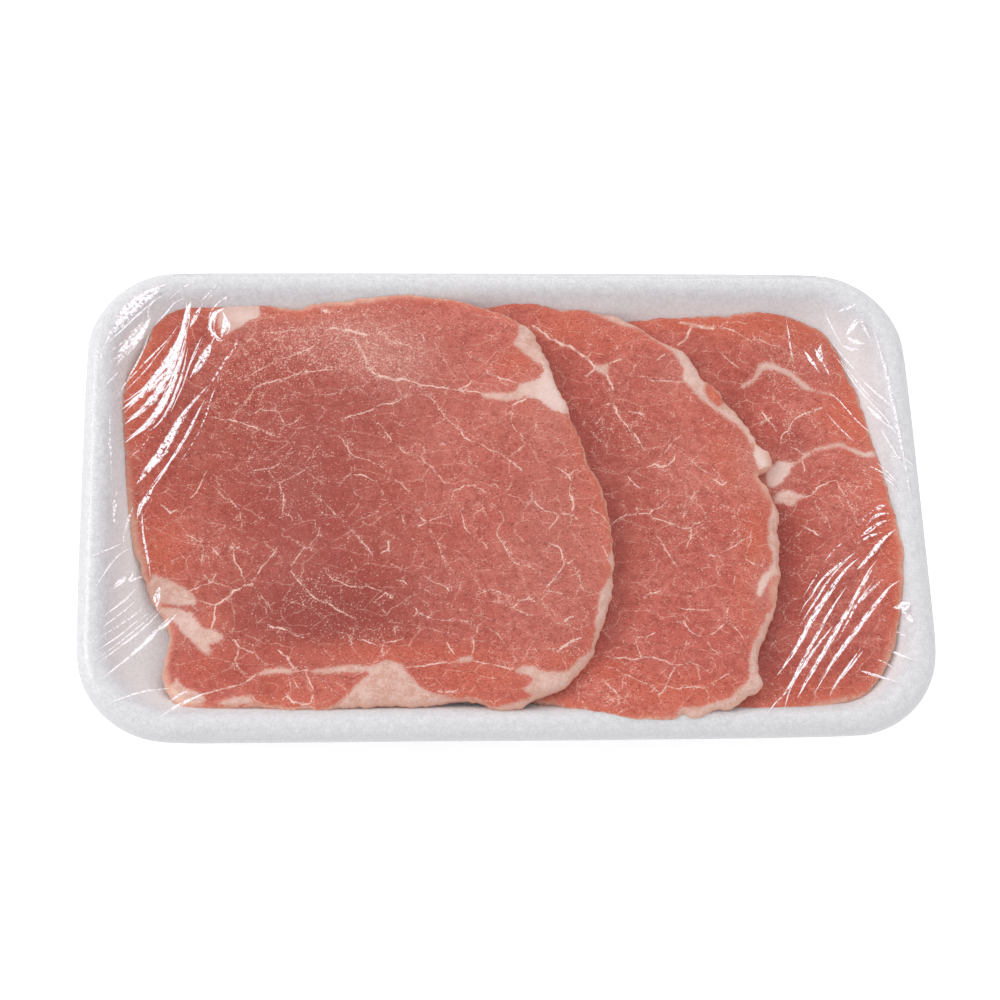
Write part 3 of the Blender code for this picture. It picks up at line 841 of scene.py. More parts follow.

# In each layout, outline, fat and islands of lean in it are closed lines, veins are half widths
# with lines, the colour zones, painted shadow and painted glints among them, are ovals (x, y, half
# length, half width, strength), tuck is how far the side leans in, and net is the fine veins' long
# and short spacing and slant.

LEFT_SLICE = {
    "outline": [
        (28.3, -17), (28.2, -10), (27.6, -4), (26.4, 1), (25.2, 5), (22.8, 9.5), (22.2, 13),
        (20.8, 18), (18.6, 23.5), (17.8, 27.5), (15.8, 32), (13.8, 38), (13, 41), (10.6, 46),
        (9, 50), (4, 53.6), (-3, 56.6), (-11, 59.2), (-20, 60.6), (-28, 61.2), (-36, 60.6),
        (-42, 59.4), (-49, 59), (-54, 56.9), (-58, 56.8), (-64, 58.5), (-72, 59), (-79, 57.6),
        (-87, 57.7), (-91.5, 55), (-94.5, 51.5), (-97, 46), (-100, 39.5), (-102.3, 33),
        (-102.8, 26), (-101.8, 17), (-101.3, 8), (-101, 0), (-99.6, -8), (-98.6, -14),
        (-96.6, -18.5), (-94.8, -25), (-92.3, -30), (-89.6, -35), (-88.5, -40), (-89.6, -45),
        (-89.9, -50), (-88, -55), (-84, -57.8), (-79, -58.7), (-68, -57.9), (-62, -58.2),
        (-57, -59), (-53, -58.5), (-48.5, -59.3), (-43, -57.9), (-38, -58), (-30, -57.7),
        (-25, -58.3), (-20, -57.7), (-13, -56.6), (-8, -57.3), (-5.5, -58.6), (-2.5, -59.7),
        (1, -59.2), (5, -57), (9.5, -55.1), (13.5, -53.6), (16.5, -51), (19, -48), (21.5, -44.5),
        (23, -40.5), (25.3, -34.5), (26.9, -30), (28, -24)],
    "fat": [
        [(-75, 60), (-76.6, 56), (-77.6, 52), (-76, 49), (-74, 48.8), (-71.5, 50.4), (-69, 52),
         (-66.5, 53), (-65.7, 55), (-66, 57.8), (-64.5, 60)],
        [(5.5, 53.5), (4.8, 48), (3, 45.5), (4.6, 44.3), (6.5, 42.3), (9.8, 39.5), (11.1, 38.3),
         (11.1, 36.8), (10.2, 35.1), (8, 34), (5.5, 33.8), (4.4, 32.8), (3.8, 31.4), (1.5, 30.7),
         (-2, 30.8), (-5.5, 30.5), (-5, 29.3), (-2.5, 28.5), (1, 28.2), (4.5, 28.5), (7, 29.5),
         (9.5, 28.5), (12, 26.5), (14.5, 24.8), (17, 24.1), (20, 24.5), (17, 34), (15, 40),
         (10, 52)],
        [(-93, -21.6), (-91, -22.3), (-88, -23.5), (-85, -25.2), (-83.3, -26.4), (-82, -28),
         (-81.2, -29.5), (-82, -30.5), (-85, -30.6), (-90, -29.8), (-93, -29), (-95, -26)],
        [(-92, -30.6), (-88, -31), (-85, -31.4), (-83, -32.3), (-81, -34.5), (-79.5, -36.8),
         (-77.4, -36.8), (-75.3, -37.9), (-74.5, -39.5), (-76, -40.8), (-78, -41.2), (-77.4, -42.6),
         (-77.8, -44.1), (-79.6, -43.5), (-82, -41), (-84.5, -38.5), (-87, -35.5), (-90, -33.4)],
        [(-86, -49.8), (-84.7, -52), (-82, -53.3), (-80, -54.1), (-78.5, -55.6), (-80, -57.6),
         (-84, -57), (-87, -55.5), (-88, -53.8), (-87.2, -51.5)],
        [(-76.3, -57.2), (-74, -56.2), (-71, -55.3), (-68, -55), (-66.5, -56), (-66.5, -57.3),
         (-69, -57.8), (-73, -58)],
        [(-66, -49.7), (-64.5, -48.4), (-62, -47.6), (-59, -47.5), (-56.5, -48.2), (-55.6, -48.7),
         (-57.5, -49.3), (-60, -49.5), (-63, -49.6)],
        [(-52, -48.7), (-49.5, -48), (-46, -47.6), (-43, -47), (-40, -46.9), (-37, -47.3),
         (-35, -46.6), (-33, -45.9), (-30, -46.2), (-28, -47), (-27.2, -48.4), (-26, -50),
         (-24.5, -51.8), (-22.5, -53.5), (-20, -55), (-15, -56.4), (-15, -59.5), (-45, -59.5),
         (-43.5, -56.3), (-42, -54.6), (-40.3, -52.4), (-38.3, -50.5), (-36.8, -49.3), (-43, -49.3),
         (-49, -49.3)],
        [(-14.6, -46.3), (-13, -45.2), (-10.3, -45), (-10, -46.3), (-13, -46.7)],
        [(1.3, -49.3), (2, -48.2), (4, -47.3), (6, -47.7), (8, -49), (11, -49.2), (14, -49.4),
         (16, -48), (18, -46), (20, -44.4), (22.5, -43.5), (21, -49), (15, -54.5), (8, -55.9),
         (3, -54.6), (4.5, -52.7), (5.3, -51.2)],
        [(9, -54.7), (5, -56), (0, -57.9), (-4, -58.6), (-6, -60.5), (2, -61), (10, -57)],
        [(27.4, -22), (26.8, -19), (27.4, -16), (29.5, -16), (29.5, -24), (26, -37), (22.5, -43.5),
         (21.3, -42.5), (22.4, -38.5), (22.3, -35.5), (23.3, -31.5), (23.8, -28), (25.2, -26)]],
    "islands": [],
    "veins": [
        (0.5, [(-40, 47), (-38, 43.5), (-37, 40.5), (-37, 38.4), (-35, 36.5), (-33, 35.7),
               (-30, 34.8)]),
        (0.85, [(-33, 35.7), (-30, 34.7), (-27, 34.8), (-24.5, 34)]),
        (0.36, [(-27, 34.8), (-23, 33.4), (-19, 32.7), (-15, 32.1), (-11, 31.7), (-8, 31),
                (-5, 30.1), (-3, 29.8)]),
        (0.3, [(-11.5, 31.8), (-9.5, 32.6), (-8, 33.8)]),
        (0.2, [(-6, 35), (-4, 36.4), (-3.7, 37.5)]),
        (0.3, [(-4, 36.4), (-1, 35.5), (1.5, 34.6), (4.2, 33.6)]),
        (0.3, [(-44, 22.3), (-40, 24), (-36, 25.3), (-31, 27.3), (-28, 28.3), (-25.5, 29.8)]),
        (0.42, [(2.7, 26.8), (3.8, 27.6), (5.5, 28.1), (7, 29.3)]),
        (0.24, [(-23, 32), (-21, 30), (-18.5, 28), (-17.3, 25.5), (-15.5, 23), (-13, 20.8),
                (-11.4, 18.8)]),
        (0.3, [(-11.7, 19.6), (-11.2, 18.4), (-10.5, 17.2), (-8.5, 16)]),
        (0.22, [(-8.5, 16), (-5.5, 15), (-3, 13.2), (0.8, 11)]),
        (0.34, [(0.8, 11), (1.5, 10.2), (3.2, 8.8), (5, 7.2)]),
        (0.22, [(0.8, 11), (2.5, 12.5), (5, 14.5), (5.8, 15.3)]),
        (0.26, [(5.8, 15), (5.4, 17), (4.5, 18.5)]),
        (0.2, [(4.5, 18.5), (3, 19.8), (2.2, 22), (2.7, 25), (2.9, 27)]),
        (0.2, [(-2.5, 17), (-2.3, 15), (-0.5, 13.3)]),
        (0.2, [(-10, 15), (-9.7, 12), (-9.5, 9.8), (-7.5, 8.5), (-7, 7.5)]),
        (0.22, [(-35, 23), (-33, 21), (-31.5, 18.5), (-30, 16), (-28, 14), (-25.5, 12.3),
                (-23, 12)]),
        (0.22, [(-22, 11.5), (-20, 9), (-18.8, 7.4), (-17, 5), (-15, 2), (-14.5, 1.3)]),
        (0.34, [(-14.7, 1.2), (-12, 2.3), (-10.8, 3.4)]),
        (0.26, [(-10.8, 3.4), (-8.5, 3.3), (-6.5, 2.2), (-5, 1)]),
        (0.3, [(-17.5, 15.2), (-16.5, 15.5), (-15.5, 15.3)]),
        (0.22, [(-36, 10.5), (-33.5, 9.5), (-32.5, 8)]),
        (0.22, [(-29.5, 5), (-28, 4), (-27, 2.7), (-25.5, 1.5)]),
        (0.3, [(-4, 3), (-2.5, 3.6), (-1.8, 2.3)]), (0.3, [(7, 2), (7, -0.8), (6.3, -1.7)]),
        (0.3, [(13, 8.8), (15, 7.8), (17.3, 6.2), (17.7, 4), (17.8, -2)]),
        (0.24, [(17.5, 6), (18.5, 7.3), (20, 7.5)]), (0.2, [(15, 12), (18, 12), (21, 12.5)]),
        (0.2, [(8.5, 22), (8.5, 19)]), (0.3, [(-22.2, 45.7), (-20.7, 46.4), (-21.4, 48.5)]),
        (0.3, [(-29, 46.5), (-27, 45.5)]),
        (0.42, [(-58, 41.3), (-55, 42.8), (-52.5, 43.8), (-51.2, 44.6)]),
        (0.24, [(-51.2, 44.5), (-50, 47)]), (0.2, [(-71, 35), (-68, 36), (-64, 38.5), (-58, 41.3)]),
        (0.2, [(-73, 23), (-71.5, 25.5), (-69, 29), (-66.5, 32.5)]),
        (0.34, [(-66.5, 32.5), (-64, 33.8), (-60, 34.8)]),
        (0.24, [(-60, 34.8), (-56, 36), (-52, 37), (-48, 37.6), (-45, 38)]),
        (0.32, [(-79, 23.5), (-73, 22.5), (-70, 21.8), (-67, 20.5), (-64, 19), (-61.2, 17.8)]),
        (0.22, [(-60.5, 19), (-58.5, 21), (-56, 22), (-54.5, 24)]),
        (0.2, [(-60.5, 25), (-59.5, 22.5), (-58.5, 21)]),
        (0.22, [(-68, 24), (-65.5, 26), (-61, 25.5)]),
        (0.32, [(-68, 7.3), (-65, 8), (-62, 8.7), (-60.3, 9.8)]),
        (0.28, [(-79.3, 8.3), (-80.5, 5.5), (-81.5, 3), (-84, -0.5)]),
        (0.22, [(-63.5, 8.5), (-61, 5), (-60, 3.5), (-59, 0), (-59.5, -4), (-57, -5.5), (-57, -8)]),
        (0.22, [(-60, 4.5), (-56, 6.5), (-52, 9), (-49, 9.8)]),
        (0.22, [(-78, 3.5), (-76, 1.5), (-75, 0), (-72, -2), (-70.5, -4.5), (-70, -9)]),
        (0.4, [(-91.5, -2), (-89, -4.5), (-87, -3.5)]),
        (0.22, [(-44.5, 18), (-42.5, 15), (-40.5, 12), (-37, 11), (-33, 9)]),
        (0.3, [(-42.5, 6), (-39, 6.5), (-36.5, 5.6), (-34.5, 4.5)]),
        (0.22, [(-34.5, 4.5), (-33, 2), (-32, -1)]), (0.36, [(-49.3, -4.6), (-48.7, -4.4)]),
        (0.22, [(-51.5, 1), (-48.5, -1), (-46, -4), (-42, -8)]),
        (0.24, [(-42, -8), (-40, -11), (-38, -13.3), (-36.5, -15), (-35.5, -17.5)]),
        (0.22, [(-34, -4), (-37, -5.8), (-40, -7)]),
        (0.2, [(-66, 49.3), (-62, 49), (-57, 49.7), (-53, 50)]),
        (0.6, [(-47, 50), (-44, 50), (-41, 49.5), (-38.5, 48.5), (-36, 48)]),
        (0.8, [(-49, 55.5), (-47, 55)]),
        (0.2, [(-50, 29.7), (-46, 30.3), (-42, 31.5), (-38, 32.5)]),
        (0.36, [(-73.3, -14), (-72.2, -14.6), (-70.6, -14)]),
        (0.34, [(-72.1, -14.6), (-72, -17), (-71.2, -19), (-70, -21), (-69, -23.8)]),
        (0.3, [(-66.8, -24), (-65.5, -21.5), (-64.5, -19.5), (-62.5, -17), (-61.3, -15.5),
               (-60.8, -14.2)]),
        (0.5, [(-69, -24.7), (-67, -24.8)]),
        (0.26, [(-84.2, -26.5), (-82.5, -26), (-80.5, -24.8), (-78.5, -24.3), (-77.5, -23.7)]),
        (0.24, [(-80, -21.5), (-78.7, -23), (-78.3, -25)]),
        (0.26, [(-77.6, -23.9), (-76.5, -21.5)]),
        (0.2, [(-77.5, -23.7), (-75, -24.6), (-73, -25.2)]),
        (0.5, [(-70, -25.7), (-72, -26.3), (-73.5, -28.3), (-75.5, -29.8), (-76.6, -30.4)]),
        (0.24, [(-76.5, -30.3), (-79, -29.7), (-81, -29)]),
        (0.42, [(-76.5, -30.3), (-76.8, -32.5), (-77, -35), (-77.5, -36.8)]),
        (0.24, [(-70, -25.7), (-68.5, -25)]),
        (0.18, [(-67, -25), (-65, -27), (-63.5, -29.5), (-61.5, -33)]),
        (0.32, [(-74, -38.7), (-71.5, -40), (-70.5, -41.5), (-70.5, -43.5), (-71.3, -45.7),
                (-70.5, -47.5), (-68.5, -49.3)]),
        (0.36, [(-70.3, -42), (-68, -43), (-66.3, -43.8)]),
        (0.24, [(-66.3, -43.8), (-64.5, -45.3), (-63.8, -46.8)]),
        (0.3, [(-57.8, -20.5), (-56, -22.5), (-54, -25), (-52, -27.5), (-49.5, -29.3), (-46, -31),
               (-43.5, -32.5), (-40.5, -34.5)]),
        (0.26, [(-48, -21.5), (-46, -23.5), (-43, -24.8), (-40, -25.6), (-37, -25.3), (-35, -26.3),
                (-33, -27)]),
        (0.36, [(-33, -27), (-31.5, -27.8), (-30.4, -29)]), (0.26, [(-32.5, -27.3), (-34.5, -29)]),
        (0.42, [(-63, -35.7), (-61.5, -36.7), (-59.5, -36.7), (-58, -37.5)]),
        (0.22, [(-58, -37.5), (-55.5, -39), (-53.5, -39.5)]),
        (0.5, [(-60, -43), (-58, -44.5), (-57, -46.5), (-55.5, -48)]),
        (0.26, [(-57, -19.5), (-55.5, -17.2), (-54, -15), (-52, -13.5), (-50.3, -11.5),
                (-49.8, -10)]),
        (0.22, [(-80, -11), (-80.5, -13), (-80, -16), (-80.5, -19)]),
        (0.26, [(-77.8, -14), (-76, -16.5)]), (0.24, [(-85, -10.5), (-82, -12), (-80.5, -13)]),
        (0.24, [(-88.5, -18), (-86, -16.8)]), (0.3, [(-53, -49.5), (-52, -52), (-51, -54)]),
        (0.28, [(-51, -55), (-52, -57.5), (-53, -57.9)]), (0.28, [(-57, -51.5), (-56.8, -54)]),
        (0.28, [(-56, -51.5), (-54.5, -53.5)]),
        (0.5, [(-58, -55), (-56.5, -57), (-54, -57.7), (-51.5, -57.2)]),
        (0.3, [(-67.5, -54.5), (-66, -56.5), (-64, -57.3)]),
        (0.34, [(-29.5, -23.7), (-27.5, -24), (-26.5, -25)]),
        (0.5, [(-31.5, -12.5), (-31.3, -14.3), (-31.2, -15.6)]),
        (0.3, [(-31.5, -15), (-33.5, -16.2)]), (0.3, [(-23.5, -25), (-21.5, -26.5), (-19, -28)]),
        (0.22, [(-22, -22.5), (-19.5, -24.5), (-17, -25.5)]),
        (0.42, [(-16.1, -25.8), (-15.6, -27)]),
        (0.24, [(-20, -9.8), (-19, -12), (-18, -14.5), (-17, -17.5), (-15.5, -20), (-14, -21.5)]),
        (0.34, [(-23, -5.5), (-21.2, -7.5), (-24, -8.5)]),
        (0.26, [(-21.2, -7.5), (-18, -6), (-15.5, -5)]), (0.4, [(-25, -4.2), (-23, -3.9)]),
        (0.26, [(-28, -4.5), (-27.5, -6.5), (-26.5, -8.3)]), (0.3, [(-12.3, -4.3), (-11.5, -3.3)]),
        (0.24, [(-12, -4.5), (-11.5, -7), (-10.5, -9.8), (-8.5, -12)]),
        (0.2, [(-9, -5.5), (-7, -4), (-5.3, -3)]),
        (0.24, [(-4, -2), (-1.5, -4.5), (-0.5, -7), (-1.8, -8.5), (-2.7, -10.3)]),
        (0.3, [(-2.7, -10.3), (-1.5, -13), (0, -16), (1.5, -18.5), (4, -19.8)]),
        (0.2, [(4, -19.8), (7, -21)]), (0.3, [(7, -0.8), (8, -2), (10, -4), (13.5, -5)]),
        (0.24, [(7, -0.8), (5.5, -2.8), (5, -4)]),
        (0.3, [(13.5, -5), (14, -5.5), (13, -7.5), (11.2, -9.5)]),
        (0.42, [(17.9, 0), (18.2, -2.5), (17.3, -5.2), (17.1, -8.5)]),
        (0.3, [(15, -5), (17.3, -5.2), (19.2, -6.6)]),
        (0.38, [(11, -13.5), (12, -13.8), (13.7, -14.5), (14.5, -16.5), (15, -18.8)]),
        (0.36, [(15, -18.8), (16.5, -19.2), (18, -17.8)]),
        (0.36, [(15, -19), (14.5, -20.5), (13, -22.5), (11, -25), (9.8, -26.3)]),
        (0.22, [(13, -22), (12.8, -24.5)]), (0.26, [(9.5, -26.8), (12, -27.3), (14.5, -27.8)]),
        (0.24, [(18, -20), (19, -24), (20, -27), (22.5, -28)]),
        (0.38, [(1.3, -31.7), (2.8, -29.7), (5, -29.2), (7, -30)]),
        (0.26, [(1.3, -31.7), (3.5, -33), (6.5, -34)]),
        (0.2, [(-5.5, -29.5), (-0.5, -31.3), (1.3, -31.7)]),
        (0.24, [(-9, -28), (-6, -27), (-4, -26.7), (-1, -28), (2, -29)]),
        (0.46, [(14.5, -35.5), (15.6, -34.6), (17, -34.3)]),
        (0.32, [(-25, -31), (-24, -32.7), (-22, -33.8), (-20.5, -34.3)]),
        (0.26, [(-24, -32.7), (-25, -33.8)]), (0.2, [(-26, -31), (-28, -30)]),
        (0.24, [(-20, -34.8), (-15, -34.7), (-12, -35), (-10, -36), (-8, -37), (-8.8, -39)]),
        (0.3, [(-8.5, -34), (-7.3, -33.3)]),
        (0.24, [(-6, -37), (-3, -39), (-1.8, -41), (-1, -42.5)]),
        (0.3, [(-16.5, -41), (-15.5, -43), (-14.5, -44.5)]),
        (0.26, [(-10, -39.5), (-9.5, -41.5), (-10, -44.5)]),
        (0.3, [(-39, -40), (-36.5, -41), (-34.5, -42)]), (0.34, [(-33.3, -42), (-33, -45)]),
        (0.28, [(-33.3, -42.3), (-32.5, -41), (-30, -40.8), (-28, -40)]),
        (0.22, [(-29.7, -35.3), (-30, -37.5), (-29.8, -39)]),
        (0.5, [(19, -40), (16, -41), (14, -42.5), (12.5, -43.5)]), (0.3, [(6.5, -43), (7, -44)]),
        (0.24, [(25, -14), (26.5, -17), (27, -19)]), (0.24, [(22, -3), (25, -5), (27, -8)]),
        (0.22, [(0.5, -44), (2, -47)]), (0.24, [(-20, -1.5), (-22, -3)]),
        (0.22, [(-6.5, -13), (-5, -15)]),
        (0.4, [(-79, -54.5), (-76, -53.7), (-73, -53), (-70, -52.2), (-68, -51), (-66, -49.7)]),
        (0.3, [(-56, -48.7), (-53.5, -48.3), (-52, -48.6)]),
        (0.36, [(-27, -48), (-25, -47.5), (-22.5, -47.7), (-20, -47), (-16, -47), (-14.4, -46.6)]),
        (0.3, [(-10, -46), (-6, -47), (-2, -48), (1.5, -49)]),
        (0.45, [(-19, -54.5), (-14.5, -54.2)])],
    "brown": [(-50, -34, 30, 12, 0.8), (-58, 8, 26, 34, 0.7), (-30, 30, 24, 14, 0.35),
              (-30, -14, 32, 26, 0.35)],
    "warm": [(-98, 38, 6, 22, 0.9), (-92, -14, 8, 10, 0.9), (-78, -34, 4, 4, 0.7),
             (-76, -47, 9, 5, 0.5), (-95, 45, 8, 10, 0.5), (5, 40, 7, 6, 0.9),
             (-32, -44, 22, 3, 0.7), (-8, -51, 16, 5, 0.7), (12, -46, 6, 3, 0.6),
             (10, 26, 7, 4, 0.6), (-60, 54.5, 30, 2.5, 0.6), (-45, -54, 12, 4, 0.3),
             (-62, -53, 6, 4, 0.5), (22, 0, 8, 26, 0.35)],
    # zones where painted glints of the wet surface crowd
    "painted_glints": [(-38, 46, 14, 9, 1.0), (-55, 46, 14, 8, 0.8), (-70, 34, 14, 12, 0.7),
              (-30, 42, 10, 8, 0.8), (16, -43, 5, 3, 1.0), (-38, -38, 10, 3, 0.8),
              (-52, -28, 6, 5, 0.6), (-78, -14, 8, 6, 0.5), (-99, -12, 3, 12, 0.8),
              (-60, 8, 16, 14, 0.35)],
    "pale": [(-100, 0, 4, 14, 0.8), (-98, -16, 5, 10, 1.0), (-92, -32, 4, 7, 0.8),
             (-89, -46, 4, 9, 1.0), (-86, -56, 9, 4, 1.0), (-60, 58, 8, 3, 0.9),
             (-38, 59, 22, 4, 1.0), (27, 10, 5, 14, 0.3)],
    # painted shadow: where the lean is darkened as shade
    "painted_shadow": [(-72, -48, 7, 4, 0.6), (-63, -54, 3, 3, 0.6), (-32, -57, 9, 3, 0.8),
              (-2, 43, 8, 4, 0.3)],
    "light": [(-71, 54, 7, 5, 0.8), (14, 31, 7, 8, 1.0), (-84, -35, 9, 5, 0.5),
              (-40, 50, 20, 9, 0.7), (-28, 40, 14, 10, 0.75), (14, -10, 14, 30, 0.5),
              (-15, 20, 20, 18, 0.2)],
    "tuck": 0.2,
    "net": (12.0, 7.0, -0.75),
    "seed": 11,
}

MIDDLE_SLICE = {
    "outline": [
        (-3, 57.5), (-16, 54), (-28, 49), (-42, 38), (-51, 20), (-53, -2), (-48, -24), (-35, -42),
        (-16, -52), (2, -56.5), (12, -58.6), (18, -60), (23, -61.2), (27, -62.3), (31, -63),
        (35, -62.8), (39, -62.8), (42, -62.7), (43.6, -61.6), (45, -61.3), (46.6, -62), (48.6, -62),
        (51, -61.2), (52.3, -60), (54.5, -59.6), (57, -59.3), (59.5, -58), (62, -56.2), (64.3, -55),
        (65.8, -53.6), (66, -52.2), (65.3, -50), (65.2, -46.5), (65.8, -44.3), (67, -41),
        (69.2, -36.2), (70.4, -33), (71, -30.6), (71.6, -28), (72.4, -25), (73.1, -22),
        (72.8, -19.5), (73.1, -14), (73.4, -7), (73.3, -3.5), (72.2, 0), (71.2, 3), (69.8, 5),
        (69.5, 7), (72.3, 8.5), (73.1, 10.8), (72.5, 13.4), (70.6, 14.5), (69.2, 15.6),
        (68.7, 17.4), (67.2, 20.2), (65.6, 22.7), (63.5, 25.6), (61.2, 28.3), (60.6, 30.2),
        (59.3, 32), (57.3, 33.7), (55.2, 35.5), (53.8, 38.5), (52.5, 41), (50.5, 43.5), (48, 45.1),
        (44, 47), (41, 49.3), (38, 51.2), (35, 53), (32, 54.6), (28, 55.5), (24, 56.5), (20, 56.6),
        (16, 56.5), (12, 57.8), (8, 59), (2, 58.8)],
    "fat": [
        [(24, 58), (24, 55.8), (28, 53.8), (31, 52.2), (34, 50.8), (38, 50), (40, 48.7), (43, 46),
         (46, 43.8), (48, 42), (49, 39.8), (50, 37), (49.5, 34.3), (51.5, 32.5), (53.5, 29.5),
         (55.5, 27.3), (57.5, 25.5), (59.5, 24), (61.5, 22.2), (64.5, 20.2), (66.5, 17.5),
         (67.6, 15), (70, 17.5), (66, 25), (62, 30), (56, 37), (54, 43), (48, 47), (41, 51),
         (35, 55), (30, 58)],
        [(68.5, 14.8), (68, 11), (69, 8), (70, 7.5), (74, 8), (74.5, 12), (72, 15.5)],
        [(74, -2), (71.8, -2.5), (70.8, -5.5), (70.2, -10), (69.8, -14), (70.6, -18), (69.8, -21),
         (67.8, -22.8), (66.2, -26), (65.6, -29), (66.8, -28.8), (68.2, -26.4), (69.8, -24),
         (71, -23), (74, -22)],
        [(72.5, -29.8), (70.2, -31), (68.8, -33.2), (67, -36.3), (65, -40), (63.5, -43),
         (62.5, -46), (62.3, -49), (61.8, -51.6), (60.4, -53.4), (58.5, -55), (57, -56.8),
         (54, -57.6), (51, -58.3), (48.5, -59.5), (45.5, -59.4), (43.2, -59.4), (43.5, -63.5),
         (54, -63), (68, -56), (67, -48), (70, -39)],
        [(25.5, 37.2), (27.3, 36.4), (29, 35.6), (29.4, 37.5), (29.4, 39.4), (27.5, 38.9),
         (25.6, 39.3)]],
    "islands": [
        [(56, 33.2), (55.6, 31.5), (56.6, 29), (57.9, 27), (59.2, 26.4), (60.2, 27.2), (60, 29.2),
         (58.8, 31.2), (57.4, 32.6)]],
    "veins": [
        (0.7, [(9, 51), (11, 49.5), (13.5, 47), (16, 45.8), (19, 44.8), (21, 43), (23, 41.5),
               (24.5, 40), (26, 38.3)]),
        (0.28, [(24, 40.5), (24.6, 42.5)]), (0.42, [(25.5, 38), (24, 36.2), (23, 35.5)]),
        (0.36, [(29, 39), (31, 40), (33, 40.5)]),
        (0.6, [(28.6, 36.5), (29.2, 34.5), (30, 33), (30.5, 31)]),
        (0.3, [(28, 27), (29.2, 27.3), (30.2, 27)]), (0.55, [(30.2, 27.3), (31, 25.5), (31.8, 23)]),
        (0.3, [(31.8, 23), (34, 20), (36, 17.5), (37, 15.5), (38, 13.5)]),
        (0.4, [(34.5, 25), (36.5, 24.5), (38.5, 24)]),
        (0.36, [(40, 34.8), (43, 34), (46, 34), (50, 33.8)]), (0.55, [(36, 43.7), (36.2, 44.6)]),
        (0.32, [(43, 40.5), (45.5, 42.5)]),
        (0.38, [(38.5, 8.3), (40.5, 9.3), (42, 8.3), (44.5, 9), (46, 10.3), (46.3, 12)]),
        (0.24, [(42, 11.2), (44, 13), (45.3, 15), (47.5, 17), (49, 18.5)]),
        (0.24, [(51, 16), (52.2, 17.7)]), (0.28, [(33, 6.5), (33.5, 5), (35, 3.3), (36.5, 2)]),
        (0.24, [(50.5, 10), (53, 8), (55.5, 6.5), (57.5, 5)]),
        (0.2, [(24.5, 18.5), (26.5, 16), (28, 14.5)]), (0.34, [(56, 5), (58.5, 3), (60, 4)]),
        (0.24, [(27.5, -9), (29, -7.5), (31.5, -6), (34, -5.5), (35.3, -5)]),
        (0.34, [(35, -3.5), (35.5, -5.1), (38.5, -5.5)]),
        (0.28, [(38.5, -5.5), (39.5, -4), (42, -3), (43.5, -1.5)]),
        (0.28, [(38.5, -5.7), (41, -7), (43.5, -8), (46, -9), (49, -9.5)]),
        (0.34, [(49.3, -9.5), (50.5, -8), (52, -7.8)]),
        (0.28, [(49.3, -9.5), (49.3, -12), (48, -14.8)]), (0.26, [(47.5, -6.5), (48.5, -4)]),
        (0.24, [(49.5, -1.5), (50.5, 0), (52, 1.5)]),
        (0.3, [(40, -11.5), (41.5, -14), (43, -17), (44.3, -19.3), (45, -20.5)]),
        (0.3, [(35.5, -29.5), (37.5, -28), (40.5, -27)]),
        (0.38, [(43.5, -36), (45.5, -36), (46.5, -37), (48, -39), (50, -40)]),
        (0.28, [(52, -40), (54.5, -38.5), (56.5, -36.7), (58, -35.5)]),
        (0.22, [(56.5, -36.7), (57.5, -34), (58.3, -31.5)]),
        (0.26, [(57.5, -36.3), (60, -38.5), (61.5, -41)]),
        (0.22, [(51.5, -41), (53.5, -44), (55.5, -45)]),
        (0.36, [(25, -45.3), (30, -45.7), (36, -45.7), (40, -46.5), (43, -47.8)]),
        (0.28, [(43, -47.8), (47, -47), (49, -48), (52, -50.2)]),
        (0.38, [(43, -47.8), (42, -50), (40.8, -52.5), (39, -55.5), (38, -56)]),
        (0.28, [(33, -41), (33.5, -43.5), (34, -45.5)]),
        (0.28, [(33, -40.2), (36, -40), (38.5, -38.8)]), (0.24, [(33.5, -39.5), (33, -37.5)]),
        (0.24, [(24.5, -48), (29, -50), (33, -52), (37.5, -54.5), (39, -55.5)]),
        (0.26, [(40, -53.5), (46, -54), (51, -54.3)]),
        (0.26, [(52, -53), (55, -51.5), (57.3, -50.5)]),
        (0.28, [(63.5, -18.5), (66, -20), (68.5, -21)]),
        (0.22, [(57, -16.5), (60, -15), (63, -13), (65, -12)]),
        (0.22, [(66, -9), (65.5, -13), (64, -16), (63.5, -18.5)]),
        (0.24, [(55.5, -21), (56.5, -23.5)]), (0.24, [(60.5, -23), (59.5, -26)]),
        (0.24, [(45, -32), (48, -32.4), (53.5, -32.5)]), (0.24, [(46.5, -41), (46, -43)]),
        (0.26, [(24, -52), (27, -55), (29, -57)]), (0.4, [(60.8, -10.3), (61.3, -10.2)]),
        (0.34, [(53.8, -16.7), (55.5, -17.5)])],
    "brown": [(30, 0, 12, 30, 0.4)],
    "warm": [(18, 51, 7, 5, 0.9), (62, 12, 7, 12, 0.6), (68, 0, 4, 14, 0.5), (66, -14, 3, 8, 0.8),
             (32, 47, 12, 5, 0.5), (63, -30, 5, 12, 0.5), (42, -56, 20, 5, 0.7),
             (25, -49, 8, 3, 0.6), (50, 30, 6, 8, 0.4), (58, 30, 2, 3, 1.0)],
    # zones where painted glints of the wet surface crowd
    "painted_glints": [(25.5, -57, 4, 4, 1.0), (26, 22, 4, 4, 0.8), (35, 21, 6, 6, 0.6),
              (56, -6, 10, 10, 0.5), (62, 17, 6, 6, 0.5)],
    "pale": [(70, -27, 4, 6, 1.0), (70, 3, 4, 8, 1.0), (68, 18, 5, 8, 0.9),
             (34, -63, 14, 2.5, 0.5)],
    # painted shadow: where the lean is darkened as shade
    "painted_shadow": [(30, -5, 3.5, 24, 0.3), (27, -36, 4, 12, 0.5), (18, 38, 4, 10, 0.5),
              (25, 18, 4, 10, 0.6)],
    "light": [(66, 12, 5, 12, 0.5), (50, 36, 8, 6, 0.5), (45, 0, 10, 20, 0.2), (68, -28, 4, 8, 0.8),
              (69, 8, 3, 8, 0.8)],
    "tuck": 0.9,
    "net": (11.0, 6.8, -0.95),
    "seed": 23,
}

